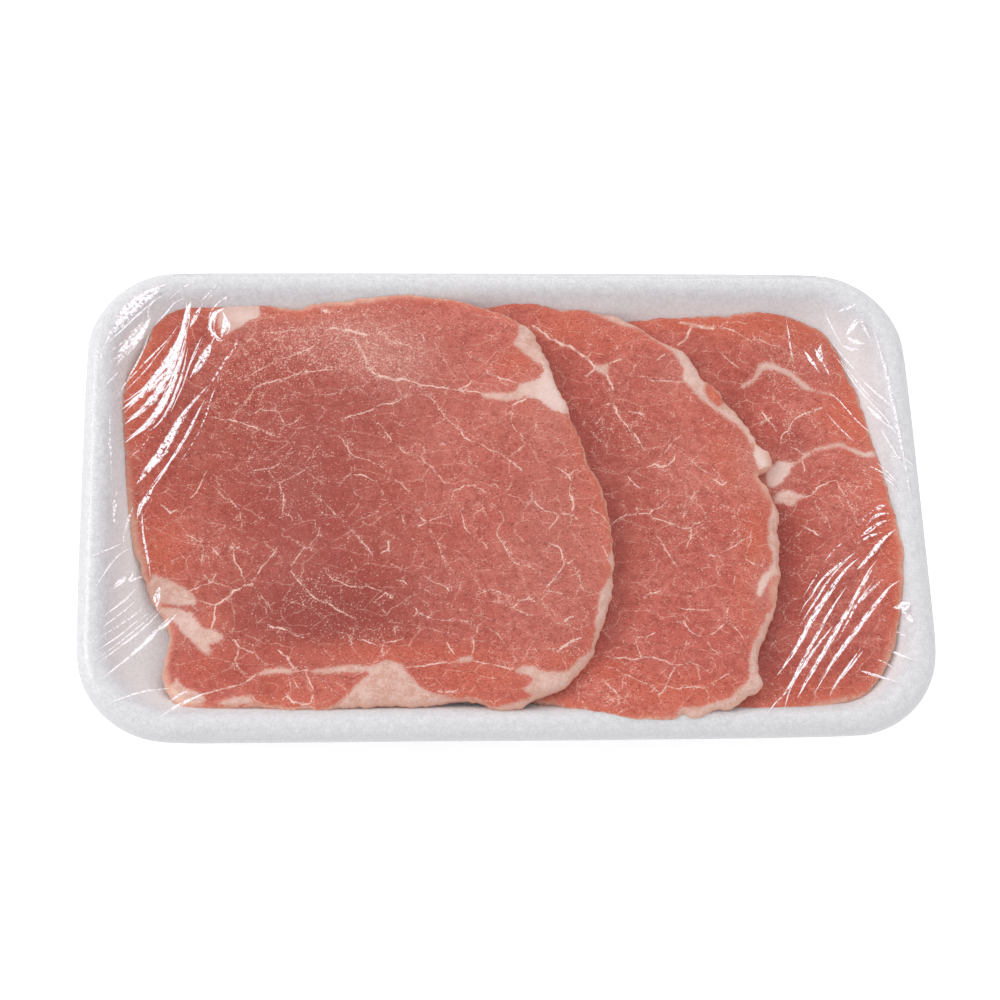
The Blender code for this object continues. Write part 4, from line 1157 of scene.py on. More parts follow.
RIGHT_SLICE = {
    "outline": [
        (38, 53.5), (25, 52), (12, 45), (-3, 33), (-13, 15), (-15, -4), (-11, -24), (3, -41),
        (21, -50), (38, -56), (50, -59), (55, -60.4), (60, -61.9), (64, -62.1), (68, -61.5),
        (71, -60.4), (75, -60.7), (79, -60.1), (84, -58.9), (88, -58), (92.2, -56.4), (94.7, -54.3),
        (97, -51.6), (99.3, -47.8), (101.2, -44), (102.6, -40), (103.9, -35), (104.8, -30),
        (105.8, -25), (106.7, -20), (106.8, -16), (106.2, -11), (105.3, -5), (104.3, 0), (103.5, 5),
        (102.6, 10.5), (101.4, 15), (100.2, 19.5), (99.4, 24), (98.3, 28.5), (96.9, 33.5),
        (95, 38.5), (93.6, 43), (92, 46.2), (90, 49.5), (87, 51.2), (84, 52.8), (80, 54.6),
        (77, 55.4), (73, 56.3), (70, 56), (66, 55.2), (63, 54.2), (60, 54.5), (56, 54.4),
        (52, 54.3), (48, 54.1), (44, 54.3), (41, 53.4)],
    "fat": [
        [(65.6, 31.8), (67, 32), (69, 33.2), (71, 35.5), (72.5, 37.3), (76, 36.8), (79, 35.4),
         (81, 33.3), (83, 31.3), (85, 30.8), (90, 29.6), (90, 30.3), (86.5, 31.4), (84.5, 32.9),
         (82.5, 34.6), (80, 37), (77, 38.6), (74.5, 39.8), (72.5, 40), (71, 39), (70.2, 37),
         (69, 35), (67, 33.6), (65.7, 32.9)],
        [(73, 8.5), (74.5, 10.2), (77, 9.9), (79.8, 9.4), (81.5, 10.3), (83, 11.6), (85.3, 12.7),
         (88, 13.4), (91, 14), (93, 13.5), (95, 12.3), (98, 11.3), (101, 11.3), (101, 12.7),
         (98, 12.7), (95.5, 13.8), (93, 15), (91, 15.5), (88, 14.7), (85, 13.9), (82, 12.5),
         (80.3, 10.9), (78, 7.8), (76.5, 5.6), (75, 3.6), (73, 2.6), (71, 3), (71, 8)],
        [(74, 1.2), (76.5, 1.8), (79.5, 0.4), (81.5, -0.4), (80.5, -1.1), (79, -1.4), (77, -3.4),
         (75, -2.6), (72, -2)]],
    "islands": [],
    "veins": [
        (0.6, [(49, 45), (51, 46.5), (52, 48.5), (53, 50.5)]),
        (1.0, [(50, 52), (53, 51.5), (56, 50.5), (59, 50)]),
        (0.26, [(60, 43), (62, 41.2), (64, 39.3), (65.5, 37.8)]),
        (0.4, [(80.9, 38.5), (80.7, 36.5)]),
        (0.45, [(80, 22.5), (82, 23.8), (84, 24.7), (86, 25.3), (87.8, 26)]),
        (0.28, [(80, 22.5), (78.5, 20.5), (76, 17.8), (75.5, 15.5)]),
        (0.6, [(71, 24.5), (72, 22.5), (70.5, 20.8)]),
        (0.4, [(73.6, 23), (72.2, 22.4), (73.3, 21), (74.5, 19)]),
        (0.3, [(78.5, 14), (80.5, 12.6), (82.5, 11.7)]), (0.36, [(81, 10), (81.4, 8.4), (81.3, 7)]),
        (0.36, [(81, -0.6), (82.5, -0.2), (84, 1.5), (86, 3), (88, 4), (90, 4.2)]),
        (0.26, [(90, 4), (91.2, 0.5), (92.5, -2), (94, -5), (95, -9)]),
        (0.24, [(61, 50.5), (62.5, 52), (66, 52.3), (69, 51.5)]),
        (0.26, [(57, 50.4), (62, 50.3), (66, 48.7), (69, 46.5), (70.5, 45.5)]),
        (0.24, [(70, 48), (71.6, 46.4)]), (0.22, [(83.5, -2), (85, -5), (87, -9.5), (87.5, -11)]),
        (0.4, [(90, 30), (91.5, 29.4)]), (0.26, [(71, 47.5), (75, 45), (80.3, 42)]),
        (0.5, [(80, -9), (82.5, -10.6), (84, -12)])],
    "brown": [(84, -20, 12, 26, 0.3), (78, 16, 6, 5, 0.5)],
    "warm": [(78, 51, 22, 6, 1.0), (97, 30, 6, 22, 0.9), (103, -15, 5, 40, 0.7),
             (50, 52, 16, 3, 0.7), (80, -56, 26, 5, 0.6), (92, 24, 7, 6, 0.6), (84, 44, 5, 5, 0.5)],
    # zones where painted glints of the wet surface crowd
    "painted_glints": [(80, 41, 12, 8, 0.5), (96, 0, 6, 10, 0.6), (72, -2, 5, 10, 0.4),
              (76, 26, 10, 10, 0.3)],
    "pale": [(105, -18, 4, 20, 0.7), (68, 56, 7, 2.5, 1.0), (90, 51, 6, 6, 0.6),
             (99, 28, 4, 16, 0.5), (84, -59, 14, 3, 0.7), (99, -46, 6, 8, 0.6)],
    # painted shadow: where the lean is darkened as shade
    "painted_shadow": [(76, -12, 4, 13, 0.9), (74, -30, 4, 10, 0.9), (69, -47, 5, 9, 0.9),
              (64, 28, 5, 8, 0.6), (55, 42, 5, 6, 0.5)],
    "light": [(74, 6, 6, 6, 0.9), (100, 10, 4, 5, 0.8), (82, 40, 12, 8, 0.25)],
    "tuck": -0.4,
    "net": (11.0, 7.0, -0.5),
    "seed": 37,
}


def roughen(outline, seed):
    """Small bites and bulges along a cut edge."""
    ahead = np.roll(outline, -3, axis=0) - np.roll(outline, 3, axis=0)
    outward = np.stack([ahead[:, 1], -ahead[:, 0]], axis=1) / np.hypot(*ahead.T)[:, None]
    push = np.array([sum(depth * noise.noise(Vector((x / size, y / size, seed + more)))
                         for size, more, depth in BITES) for x, y in outline])
    return outline + outward * push[:, None]


def cut_outline(layout, surface):
    """The slice's edge at its own height, from its outline on the rim-height plan, and its middle.

    It starts at the lower right, as the grid's way round does.
    """
    plan = even_steps(smooth_curve(layout["outline"]), 4 * SLICE_CELLS)
    x, y = plan.T
    for _ in range(4):
        x, y = under_plan(*plan.T, sample(surface, x, y))
    outline = roughen(even_steps(np.stack([x, y], axis=1), 4 * SLICE_CELLS), layout["seed"])
    centre = outline.mean(axis=0)
    start = np.argmin(np.abs(np.arctan2(*(outline - centre).T[::-1]) + math.pi / 4))
    return np.roll(outline, -start, axis=0), centre


def slab(layout, outline, centre, top, bottom, grid):
    """The places of a round-edged slab over the grid, and each one's way in from the edge.

    On the side and beneath, the way in is less than zero: one for each row.
    """
    u, v, level = grid.T
    row = np.round(-level)
    ring, way = ring_place(u, v, SLICE_CELLS, SLICE_CELLS)
    rim = around(outline, way)
    radius = np.hypot(*(rim - centre).T)
    crowded = ring * (1 + EDGE_CROWD - EDGE_CROWD * ring)
    depth = (1 - crowded) * radius
    under = np.clip(row / (SLICE_ROWS - 2), 0, 1) * math.pi / 2
    tuck = layout["tuck"] * (1 - np.cos(under)) + np.choose(
        np.clip(row - SLICE_ROWS + 2, 0, 3).astype(int), UNDER_STEPS)
    drawn_in = 1 - tuck / radius
    share = np.where(row > SLICE_ROWS, ring * drawn_in, np.where(row > 0, drawn_in, crowded))
    x, y = (centre + (rim - centre) * share[:, None]).T

    upper, lower = sample(top, x, y), sample(bottom, x, y)
    half = np.maximum(upper - lower, LEAST_THICKNESS) / 2
    outer = 1 - np.clip(depth / EDGE_ROUND, 0, 1)
    drop = half * (1 - np.sqrt(np.clip(1 - outer ** 2, 0, 1)))
    z = np.where(row > 0, upper - half - half * np.sin(under), upper - drop)
    swell, ripple = (
        rise * np.array([noise.noise(Vector((px / size, py / size, layout["seed"])))
                         for px, py in zip(x, y)]) for size, rise in (SWELL, RIPPLE))
    z += np.where(row > 0, 0, swell + ripple)
    return x, y, z, np.where(row > 0, -row, depth)


def mark_slice(piece, layout, outline, x, y, edge_reach):
    """The marbling, fat, colour zones, painted shadow and painted glints, written on the slice for
    its material.
    """
    rng = random.Random(layout["seed"])
    veins = [(crooked(line, rng), width) for width, line in layout["veins"]]
    veins += vein_net(outline.min(axis=0), outline.max(axis=0), *layout["net"], rng)
    way_x, way_y, width, far = vein_marks(x, y, veins)
    fat = fat_marks(x, y, layout["fat"], layout["islands"])
    write_marks(piece, "vein", (way_x, way_y, width))
    write_marks(piece, "marks", (fat, edge_reach, far))
    for name, zones in (("zones", ("brown", "warm", "painted_glints")),
                        ("tints_and_shadow", ("pale", "painted_shadow", "light"))):
        write_marks(piece, name, [zone_marks(x, y, layout[zone]) for zone in zones])


def make_slice(name, layout, top, bottom, material):
    """One slice, draped over what is below it. Its outline is given back."""
    piece = blank_sheet(name + "_meat", SLICE_CELLS, SLICE_CELLS, SLICE_ROWS, 4)
    outline, centre = cut_outline(layout, top)
    x, y, z, edge_reach = slab(layout, outline, centre, top, bottom, read_places(piece))
    write_places(piece, np.stack([x, y, z], axis=1))
    mark_slice(piece, layout, outline, *rim_plan(x, y, z), edge_reach)
    only(piece)
    bpy.ops.object.shade_smooth()
    finish_piece(piece, material, "meat", name)
    return outline


# ---------------------------------------------------------------- the film

FILM_WIDE, FILM_DEEP = 300, 174
FILM_ROUND = 2 * (FILM_WIDE + FILM_DEEP)    # places on the film's way round
FILM_CLEAR = 0.15          # gap between the film and what it spans
FILM_GIVE = 0.1            # most of that gap that rounding may take
WAVE_ROOM = 0.3            # most that a slice's waves stand up
FILM_INSET = 0.6           # how far in from the tray's edge the film turns down
FIRST_BLUR = 12.0          # from which the film is drawn taut
SETTLE_ROUNDS = 1400       # enough for it to be taut
LAST_BLUR = 1.2            # rounds the film's bends off
HELD = 1e-6                # a floor above this has the pack under it

# Rows of film down the side and folded beneath: how far in from the tray's edge, and height
FILM_FALL = [(0.5, 17.2), (0.45, 16.4), (0.7, 15.2), (2.4, 12.6), (4.8, 9.6), (7.8, 6.4),
             (10.9, 3.4), (14.2, 0.9), (16.5, 0.3), (19.5, 0.25), (26.0, 0.25), (34.0, 0.25)]
FILM_LAP = (38.0, 0.25)    # the same for the edge of the sheet's flat middle

PLEAT_STEP = 0.8           # length of a pleat's faces
PLEAT_LEAST = 0.02         # half width of its two points
PLEAT_FOOT = 0.04          # its edges' height over the film
PLEAT_RISE = 0.28          # most that its ridges stand up from there
PLEAT_ACROSS = ((-1, 0.0), (-0.5, 1.0), (0, 0.35), (0.5, 1.0), (1, 0.0))    # place, share of rise

# Drawn pleats, their white partly painted glare, some strips being glare alone: (half width,
# strength, line on the plan)
PLEATS = [
    # Back left corner, over the meat: a fan that leaves the rim as one band
    (1.5, 1.0, [(-85.8, 57.5), (-86, 53), (-87.3, 47), (-89.5, 42), (-92.5, 36.5), (-96, 31.5),
                (-102.3, 25.3)]),
    (1.2, 1.0, [(-85.5, 54), (-87, 47), (-89, 40), (-91.5, 34), (-95, 28), (-99, 23.5),
                (-101.5, 21)]),
    (1.1, 1.0, [(-85.2, 51), (-86.8, 43), (-88.7, 36.5), (-91.3, 29), (-94.5, 23), (-98, 19),
                (-101.3, 15.6)]),
    (0.75, 1.0, [(-86, 44), (-88, 37), (-90, 31), (-92.7, 25), (-95.6, 21.3)]),
    (0.45, 0.95, [(-86, 40), (-87.6, 34), (-89.6, 27.5), (-92.3, 22.5), (-95, 19.6)]),
    (0.7, 0.9, [(-81.3, 57.2), (-83.2, 53.5), (-84.8, 50)]),
    (0.3, 0.95, [(-86.4, 58.3), (-89, 57), (-91.6, 53.6), (-95.2, 49.4)]),
    (0.3, 0.9, [(-88, 50.5), (-91, 46), (-94.5, 42), (-98.5, 37), (-103, 31.2)]),
    (0.22, 0.9, [(-89, 48), (-92.6, 43), (-96.6, 37), (-102, 30.2)]),
    (0.3, 0.9, [(-95.3, 49.5), (-97.2, 43), (-100, 36.5), (-104, 28)]),
    (0.26, 0.95, [(-80.5, 48.6), (-83, 43), (-85, 38.6), (-86.6, 33), (-89.6, 25.4)]),
    (0.22, 0.9, [(-81.6, 47.6), (-83.9, 42), (-85.7, 37)]),
    (1.25, 0.8, [(-78.3, 47.2), (-79.6, 44.4), (-81.6, 40.4), (-84.6, 35.6)]),
    (0.5, 1.0, [(-86.5, 51), (-89.8, 42), (-93.5, 35.5), (-97, 30.5), (-102.4, 23.4)]),
    (0.5, 1.0, [(-86, 49), (-88.8, 40), (-92.5, 32), (-96.5, 26.4), (-101, 22.6)]),
    (0.45, 1.0, [(-85.6, 46), (-87.6, 38), (-90.5, 30.5), (-93.5, 25), (-97, 20.5), (-101, 16.8)]),
    (0.4, 1.0, [(-87.4, 48), (-91.6, 39.4), (-96, 33), (-100, 29), (-103, 26.5)]),
    (0.35, 1.0, [(-85.4, 44), (-86.8, 36), (-89, 29.5), (-91.5, 24), (-94, 20)]),
    (1.1, 1.0, [(-84.6, 57.6), (-85.6, 54), (-86.2, 49.6), (-87.6, 45)]),
    # the speckled band beside it
    (1.45, 0.85, [(-79.4, 34), (-82.6, 30), (-85.8, 25.5), (-88.6, 20), (-91, 15), (-94.4, 9.6),
                  (-98, 4)]),
    (0.8, 0.9, [(-84, 28), (-87.5, 23), (-90.4, 17), (-93.2, 12), (-96.4, 7.4)]),
    (0.5, 0.95, [(-80.6, 29.6), (-82.6, 25), (-84.6, 20.5), (-87, 15.5), (-90, 10), (-92.5, 5.5),
                 (-95, 1)]),
    (0.28, 0.95, [(-82.6, 23), (-86, 17), (-88.6, 12.4), (-91.2, 8.6), (-94.4, 3.4)]),
    (0.85, 0.8, [(-93.5, 4), (-95.2, 0.5), (-96.8, -2.6), (-97.6, -6.2)]),
    (0.4, 0.9, [(-96.4, -3.6), (-96, -9), (-95.2, -14), (-94.3, -18), (-93.7, -22)]),
    (0.5, 0.6, [(-72, 48.4), (-72.6, 44.6), (-75.6, 40.2), (-78.2, 35.6), (-80.4, 31)]),
    (0.3, 0.6, [(-76.6, 37), (-78.8, 30), (-81, 22.6), (-84, 16), (-87.6, 10)]),
    (0.2, 0.55, [(-97, 17.5), (-94.5, 21), (-93, 24.5)]),
    (0.22, 0.6, [(-99.5, 12), (-96.8, 15), (-94.6, 18.6)]),
    # the swirl
    (1.0, 1.0, [(-75.6, 55.6), (-78, 54), (-79, 51), (-78.2, 48), (-76.2, 46.8)]),
    (1.3, 1.0, [(-76.2, 55), (-75.2, 52.6), (-75.2, 49.6), (-76.2, 47.4)]),
    (0.3, 0.8, [(-79.9, 50), (-79.4, 54), (-77.4, 57), (-74, 59.6)]),
    (0.35, 0.8, [(-80.2, 50.6), (-79, 48.2), (-77, 46.4), (-75.4, 46.8)]),
    # Back left corner, over the foam: broad strips of painted glare among the pleats
    (2.4, 0.75, [(-107.4, 44), (-104.4, 50.4), (-99.6, 56.4), (-93, 61.4)]),
    (1.3, 0.7, [(-104, 38), (-101.6, 44), (-98, 50.6)]),
    (0.8, 0.95, [(-105.4, 50), (-101.6, 55), (-97, 59.6), (-91, 62.6)]),
    (0.5, 0.95, [(-107, 46), (-102.8, 51.5), (-98.6, 56.6), (-92, 61)]),
    (0.35, 0.95, [(-108, 43), (-103, 48.6), (-99, 53), (-94, 58)]),
    (1.1, 0.95, [(-101.5, 41), (-98.6, 46.5), (-95.4, 52.6)]),
    (0.3, 0.95, [(-106, 38), (-101, 44), (-97, 49.5)]),
    (0.3, 0.85, [(-95.2, 50), (-96.2, 53), (-95.4, 56.6), (-91.6, 59.6)]),
    (0.25, 0.7, [(-106.5, 41.5), (-100.5, 47), (-96, 51.6)]),
    (0.25, 0.7, [(-107, 38), (-101, 43.6), (-97.6, 48)]),
    (0.3, 0.75, [(-104.5, 41), (-98.5, 49.6), (-96.4, 53)]),
    (0.25, 0.6, [(-110, 40), (-103.6, 48.6), (-96.6, 57.4), (-91, 61.6)]),
    (0.22, 0.6, [(-108.6, 43), (-102, 51.6), (-95.6, 59.6)]),
    (0.25, 0.6, [(-90.4, 58), (-86.6, 61.6), (-82, 64)]),
    (0.25, 0.7, [(-80.4, 58), (-78.4, 60), (-76.6, 62)]),
    (0.25, 0.7, [(-82, 57.4), (-79.4, 60.4), (-77.4, 62.6)]),
    (0.22, 0.6, [(-75.8, 57), (-74.6, 59.4)]),
    (0.6, 0.6, [(-103, 1.6), (-103.4, -4), (-103.2, -9.4)]),
    (0.3, 0.8, [(-107.1, 31.5), (-105.2, 34), (-103.5, 36.2)]),
    (0.5, 0.7, [(-105.8, 17.6), (-105.2, 15), (-104.6, 12.6)]),
    (0.6, 0.8, [(-109.8, 42.6), (-108.8, 41.2), (-108, 39.6)]),
    (0.3, 0.8, [(-109.8, -18.1), (-105, -15.5), (-100.9, -13)]),
    (0.3, 0.8, [(-108.2, -27.4), (-103, -18), (-98.7, -13.9)]),
    (0.5, 0.7, [(-98.7, -2.5), (-100.3, -8.7), (-100.9, -12.9)]),
    (0.3, 0.6, [(-105.6, 24), (-105, 14), (-104.4, 4)]),
    # Front left corner
    (0.45, 0.9, [(-99.8, -21.2), (-98, -20.9), (-98.6, -22.6), (-99.2, -23.8), (-97.4, -22.8),
                 (-95.8, -22)]),
    (0.75, 0.85, [(-99.8, -22.4), (-101.4, -24.2), (-103.2, -26.2)]),
    (0.35, 0.85, [(-96.6, -24.6), (-99.5, -28.5), (-102, -31), (-105, -33.8)]),
    (0.3, 0.85, [(-97, -28.5), (-100, -32), (-105.4, -37)]),
    (0.3, 0.8, [(-95, -30.5), (-98.5, -34), (-105.6, -39.6)]),
    (0.3, 0.85, [(-93, -31.5), (-97, -35), (-101, -39), (-106, -43)]),
    (0.22, 0.85, [(-92, -31.6), (-96, -36), (-100.6, -40.6), (-106, -45.4)]),
    (0.35, 0.9, [(-90.5, -31), (-94, -35.5), (-99, -40.5), (-106, -46.8)]),
    (1.0, 0.7, [(-91.2, -24.6), (-91.9, -28), (-91.6, -31.4)]),
    (0.6, 1.0, [(-86.6, -32), (-88.5, -34.5), (-92, -38), (-96, -42.5), (-100, -46.5),
                (-105, -51)]),
    (0.25, 0.9, [(-87.4, -32.2), (-91, -36), (-95, -40.4)]),
    (0.35, 0.9, [(-105.6, -58.8), (-99, -56), (-94, -54.3), (-90, -53.7), (-87.6, -53.2)]),
    (0.5, 0.95, [(-89.7, -61.2), (-86, -58.5), (-82, -56.3), (-77.8, -54.2)]),
    (0.35, 0.9, [(-88.2, -57.5), (-85, -55), (-83, -54)]),
    # Front right corner
    (0.5, 1.0, [(76.5, -35), (78, -32), (80, -29.5), (82, -26.5), (84.5, -23.5), (87, -21.5),
                (90, -19.2), (93, -17)]),
    (0.26, 0.8, [(78, -29.5), (80, -26.5), (83, -22)]),
    (0.36, 0.95, [(76.5, -37.5), (78.5, -34.5), (82, -29.5), (85, -25), (88.5, -21), (91, -19)]),
    (0.85, 1.0, [(69, -52), (72.5, -47.5), (76, -42.5), (78.5, -38), (81, -34), (83.5, -30.5),
                 (86, -27), (89, -23), (92, -20), (94, -18.5)]),
    (0.55, 1.0, [(65, -63), (68, -59.5), (71, -56.5), (73, -53.5), (75.5, -49), (78.5, -44),
                 (81, -40), (84, -35), (87, -30.5), (90, -26.5)]),
    (0.5, 1.0, [(70, -62), (71.5, -57.5), (73, -54), (76.5, -49), (80, -44), (83, -40.5),
                (85, -38)]),
    (0.75, 1.0, [(74, -58), (77, -53), (80, -48.5), (83.5, -43), (87, -37.5), (90, -33),
                 (92, -29.5), (94, -26), (96, -22.5), (98.5, -19.5)]),
    (0.4, 0.9, [(86, -42), (89, -37), (92, -32), (95, -28), (96.5, -26)]),
    (0.75, 1.0, [(78, -57.5), (80, -54.5), (82.5, -50.5), (84.5, -47.5), (88, -43), (91.5, -39),
                 (95, -34.5), (98, -31), (101, -27.5), (104, -25.5)]),
    (0.3, 0.9, [(83.4, -49.5), (87, -45), (90, -41.2)]),
    (0.4, 0.95, [(82.5, -57.5), (84.5, -54), (88, -49.5), (91, -45.5), (92, -44)]),
    (0.32, 0.9, [(84.5, -54.5), (87.5, -51), (90, -48), (92.5, -45)]),
    (0.65, 0.85, [(94.5, -12.6), (97, -11), (100, -9), (103.2, -8)]),
    (0.55, 0.8, [(96.6, -9.4), (99, -7), (101.5, -6.2), (103.4, -6.3)]),
    (0.7, 0.7, [(98.4, -5.2), (100.5, -4.3), (102.2, -3.6)]),
    (0.5, 0.7, [(93.5, -14.5), (96.5, -12.9), (100.5, -11.5)]),
    (0.75, 0.9, [(93, -22), (96, -19), (99.5, -15), (102, -12.5), (104.4, -10.8)]),
    (0.4, 0.8, [(92, -30.5), (94.5, -26), (97, -22)]),
    (0.55, 0.7, [(91, -33), (94, -30), (96.6, -27.6), (99.6, -25)]),
    (0.3, 0.6, [(95, -8.6), (97, -6.4), (98.6, -5.6)]),
    (0.28, 0.6, [(84.5, -19.5), (88, -15.5), (91.6, -13)]),
    (0.45, 0.9, [(99, -45), (102, -46.4), (105.6, -48)]),
    (0.4, 0.85, [(90.5, -50.3), (95, -52), (101.6, -54.3)]),
    (0.28, 0.8, [(95.5, -47.5), (97.5, -48.3), (100, -50)]),
    (1.3, 0.85, [(101.4, -33.2), (103.6, -33), (106.2, -32.2)]),
    (0.9, 0.8, [(103, -33.6), (104.6, -35.2), (106.4, -37.6)]),
    (0.5, 0.8, [(101.6, -40), (103, -40.6), (104.2, -41.6)]),
    # Back right corner
    (0.56, 1, [(84.2, 43.2), (86, 40), (88, 36.6)]),
    (1.12, 0.9, [(88.8, 45), (88.2, 42.6), (88.8, 40)]),
    (0.62, 0.8, [(87, 44), (87.9, 41.6), (89, 39.4)]),
    (0.38, 0.8, [(88.8, 40.4), (89.6, 38), (90.6, 35.4)]),
    (0.31, 1, [(90.5, 54), (92.5, 49), (94.6, 44.5)]),
    (0.5, 0.9, [(94.6, 44.6), (96.6, 43.3), (99, 43)]),
    (0.5, 0.7, [(95.4, 46.6), (97.5, 50.3), (99.8, 52), (101, 49), (102.5, 45.5)]),
    (0.5, 0.9, [(94, 54.4), (96.8, 55.4), (99.6, 56.6)]),
    (0.31, 0.9, [(92, 42), (94.5, 38), (97, 33), (100.5, 27.5), (104, 22.5), (107.5, 16),
                 (110, 13)]),
    (0.28, 0.9, [(93.6, 40.6), (96.5, 35.5), (99.6, 30.4), (103.6, 25)]),
    (0.44, 0.95, [(98, 35.5), (101, 31.5), (104, 28), (107, 24.5)]),
    (0.62, 1, [(99.8, 26), (102.5, 22.5), (106.4, 18)]),
    (0.25, 0.8, [(90, 31), (93, 27.5), (97, 21.5), (100.5, 17.5)]),
    (0.25, 0.8, [(88.6, 25), (92, 20), (95.6, 15.6)]),
    (0.28, 0.85, [(99, 8), (102, 6), (105.4, 2.6)]),
    (0.28, 0.85, [(100.4, 9.4), (103, 6.6), (106, 2.4)]),
    (0.28, 0.85, [(101, 5.6), (103.4, 3.6), (105.6, 0.6)]),
    (0.31, 0.9, [(104.4, 10.6), (108.4, 9.4), (112, 7)]),
    (0.3, 0.8, [(79.5, 53), (80.1, 48), (80.3, 44.6), (81, 40)]),
    # painted glare along the right rim's crest
    (0.6, 0.75, [(103.4, 49), (104.9, 41), (106.2, 32.7), (107.4, 19.3), (108.4, 8), (109.2, -4)]),
    (1.0, 0.8, [(95.6, 47), (97.8, 45.4), (100.6, 44.6)]),
    (0.7, 0.9, [(96, 47.4), (98, 50), (100, 51.4)]),
    (0.3, 0.9, [(91.6, 46), (94.6, 41), (98, 36.4)]),
    (0.3, 0.9, [(103, 18.5), (105.4, 13), (107.6, 8)]),
]


def rim_outline(inset, count):
    """Places round the tray at an inset from its edge, from the front right corner on."""
    low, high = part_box("tray")
    length, width = (high.x - low.x) / MM - 2 * inset, (high.y - low.y) / MM - 2 * inset
    radius = CORNER_RADIUS - CORNER_EASE * inset
    arc = np.linspace(0, math.pi / 2, 25)
    points = []
    for turn, (sx, sy) in enumerate(((1, 1), (-1, 1), (-1, -1), (1, -1))):
        centre = (sx * (length / 2 - radius), sy * (width / 2 - radius))
        angle = arc + turn * math.pi / 2
        points += list(zip(centre[0] + radius * np.cos(angle), centre[1] + radius * np.sin(angle)))
    points = np.array(points)
    corner_x, corner_y = length / 2 - radius * ARC_MIDDLE, -width / 2 + radius * ARC_MIDDLE
    start = np.argmin(np.hypot(points[:, 0] - corner_x, points[:, 1] - corner_y))
    return even_steps(np.roll(points, -start, axis=0), count)


def stretch_over(floor):
    """A taut sheet over the rim and the meat."""
    height = np.maximum(blur(floor, FIRST_BLUR), floor)
    for _ in range(SETTLE_ROUNDS):
        mean = height.copy()
        mean[1:-1, 1:-1] = (height[:-2, 1:-1] + height[2:, 1:-1]
                            + height[1:-1, :-2] + height[1:-1, 2:]) / 4
        height = np.maximum(floor, mean)
    held = floor > HELD
    taut = blur(np.where(held, height, floor), LAST_BLUR)
    return np.maximum(taut, np.where(held, floor - FILM_GIVE, 0))


def out_of_square(x, y):
    """The slight skew of the tray under tight film."""
    return x - SKEW_X * y, y - SKEW_Y * x


def make_film(surface, material):
    """The clear sheet over the pack, down its sides and folded beneath."""
    piece = blank_sheet("stretch_film", FILM_WIDE, FILM_DEEP, len(FILM_FALL), 6)
    u, v, level = read_places(piece).T
    ring, way = ring_place(u, v, FILM_WIDE, FILM_DEEP)
    row = np.round(-level).astype(int)
    x, y = around(rim_outline(FILM_INSET, FILM_ROUND), way).T * ring
    z = sample(surface, x, y)
    for index, (inset, height) in enumerate(FILM_FALL + [FILM_LAP], start=1):
        here = row == index
        share = ring[here] if index > len(FILM_FALL) else 1.0
        x[here], y[here] = around(rim_outline(inset, FILM_ROUND), way[here]).T * share
        z[here] = height
    write_places(piece, np.stack([*out_of_square(x, y), z], axis=1))
    only(piece)
    bpy.ops.object.shade_smooth()
    finish_piece(piece, material, "film", "film")


def pleat_strip(bm, layer, surface, half_width, strength, line, rng):
    """One drawn pleat: a low double ridge that runs out to a point at both ends."""
    curve = smooth_curve(line, closed=False, steps=10)
    length = np.hypot(*np.diff(curve, axis=0).T).sum()
    count = max(8, int(length / PLEAT_STEP))
    path = even_steps(curve, count, closed=False)
    ahead = np.gradient(path, axis=0)
    normal = np.stack([-ahead[:, 1], ahead[:, 0]], axis=1) / np.hypot(*ahead.T)[:, None]
    widest = math.log(0.5) / math.log(rng.uniform(0.4, 0.65))
    rows = []
    for index in range(count):
        share = index / (count - 1)
        swell = math.sin(math.pi * share ** widest) ** 0.8
        wave = 1 + 0.25 * noise.noise(Vector((index * 0.35, half_width * 9, strength)))
        width = max(half_width * swell * wave, PLEAT_LEAST)
        row = []
        for across, lift in PLEAT_ACROSS:
            x, y = path[index] + normal[index] * across * width
            z = float(sample(surface, x, y)) + PLEAT_FOOT + lift * min(PLEAT_RISE, width * 0.6)
            vert = bm.verts.new((x * MM, y * MM, z * MM))
            vert[layer] = (across, share * length, strength)
            row.append(vert)
        rows.append(row)
    for near, far in zip(rows, rows[1:]):
        for column in range(len(PLEAT_ACROSS) - 1):
            bm.faces.new((near[column], far[column], far[column + 1], near[column + 1]))


def make_pleats(surface, material):
    """All the drawn pleats of the film's top."""
    bm = bmesh.new()
    layer = bm.verts.layers.float_vector.new("pleat")
    rng = random.Random(5)
    for half_width, strength, line in PLEATS:
        pleat_strip(bm, layer, surface, half_width, strength, line, rng)
    bmesh.ops.recalc_face_normals(bm, faces=bm.faces)
    mesh = bpy.data.meshes.new("film_pleats")
    bm.to_mesh(mesh)
    bm.free()
    piece = bpy.data.objects.new("film_pleats", mesh)
    bpy.context.scene.collection.objects.link(piece)
    mesh.shade_smooth()
    finish_piece(piece, material, "film")


# ---------------------------------------------------------------- the tray

CORNER_FILL = 0.45         # how far the tray's outer corners are let out
LIP_CREST = 3.2            # how far in from the edge the lip is highest
QUAD_TURN = math.radians(60)


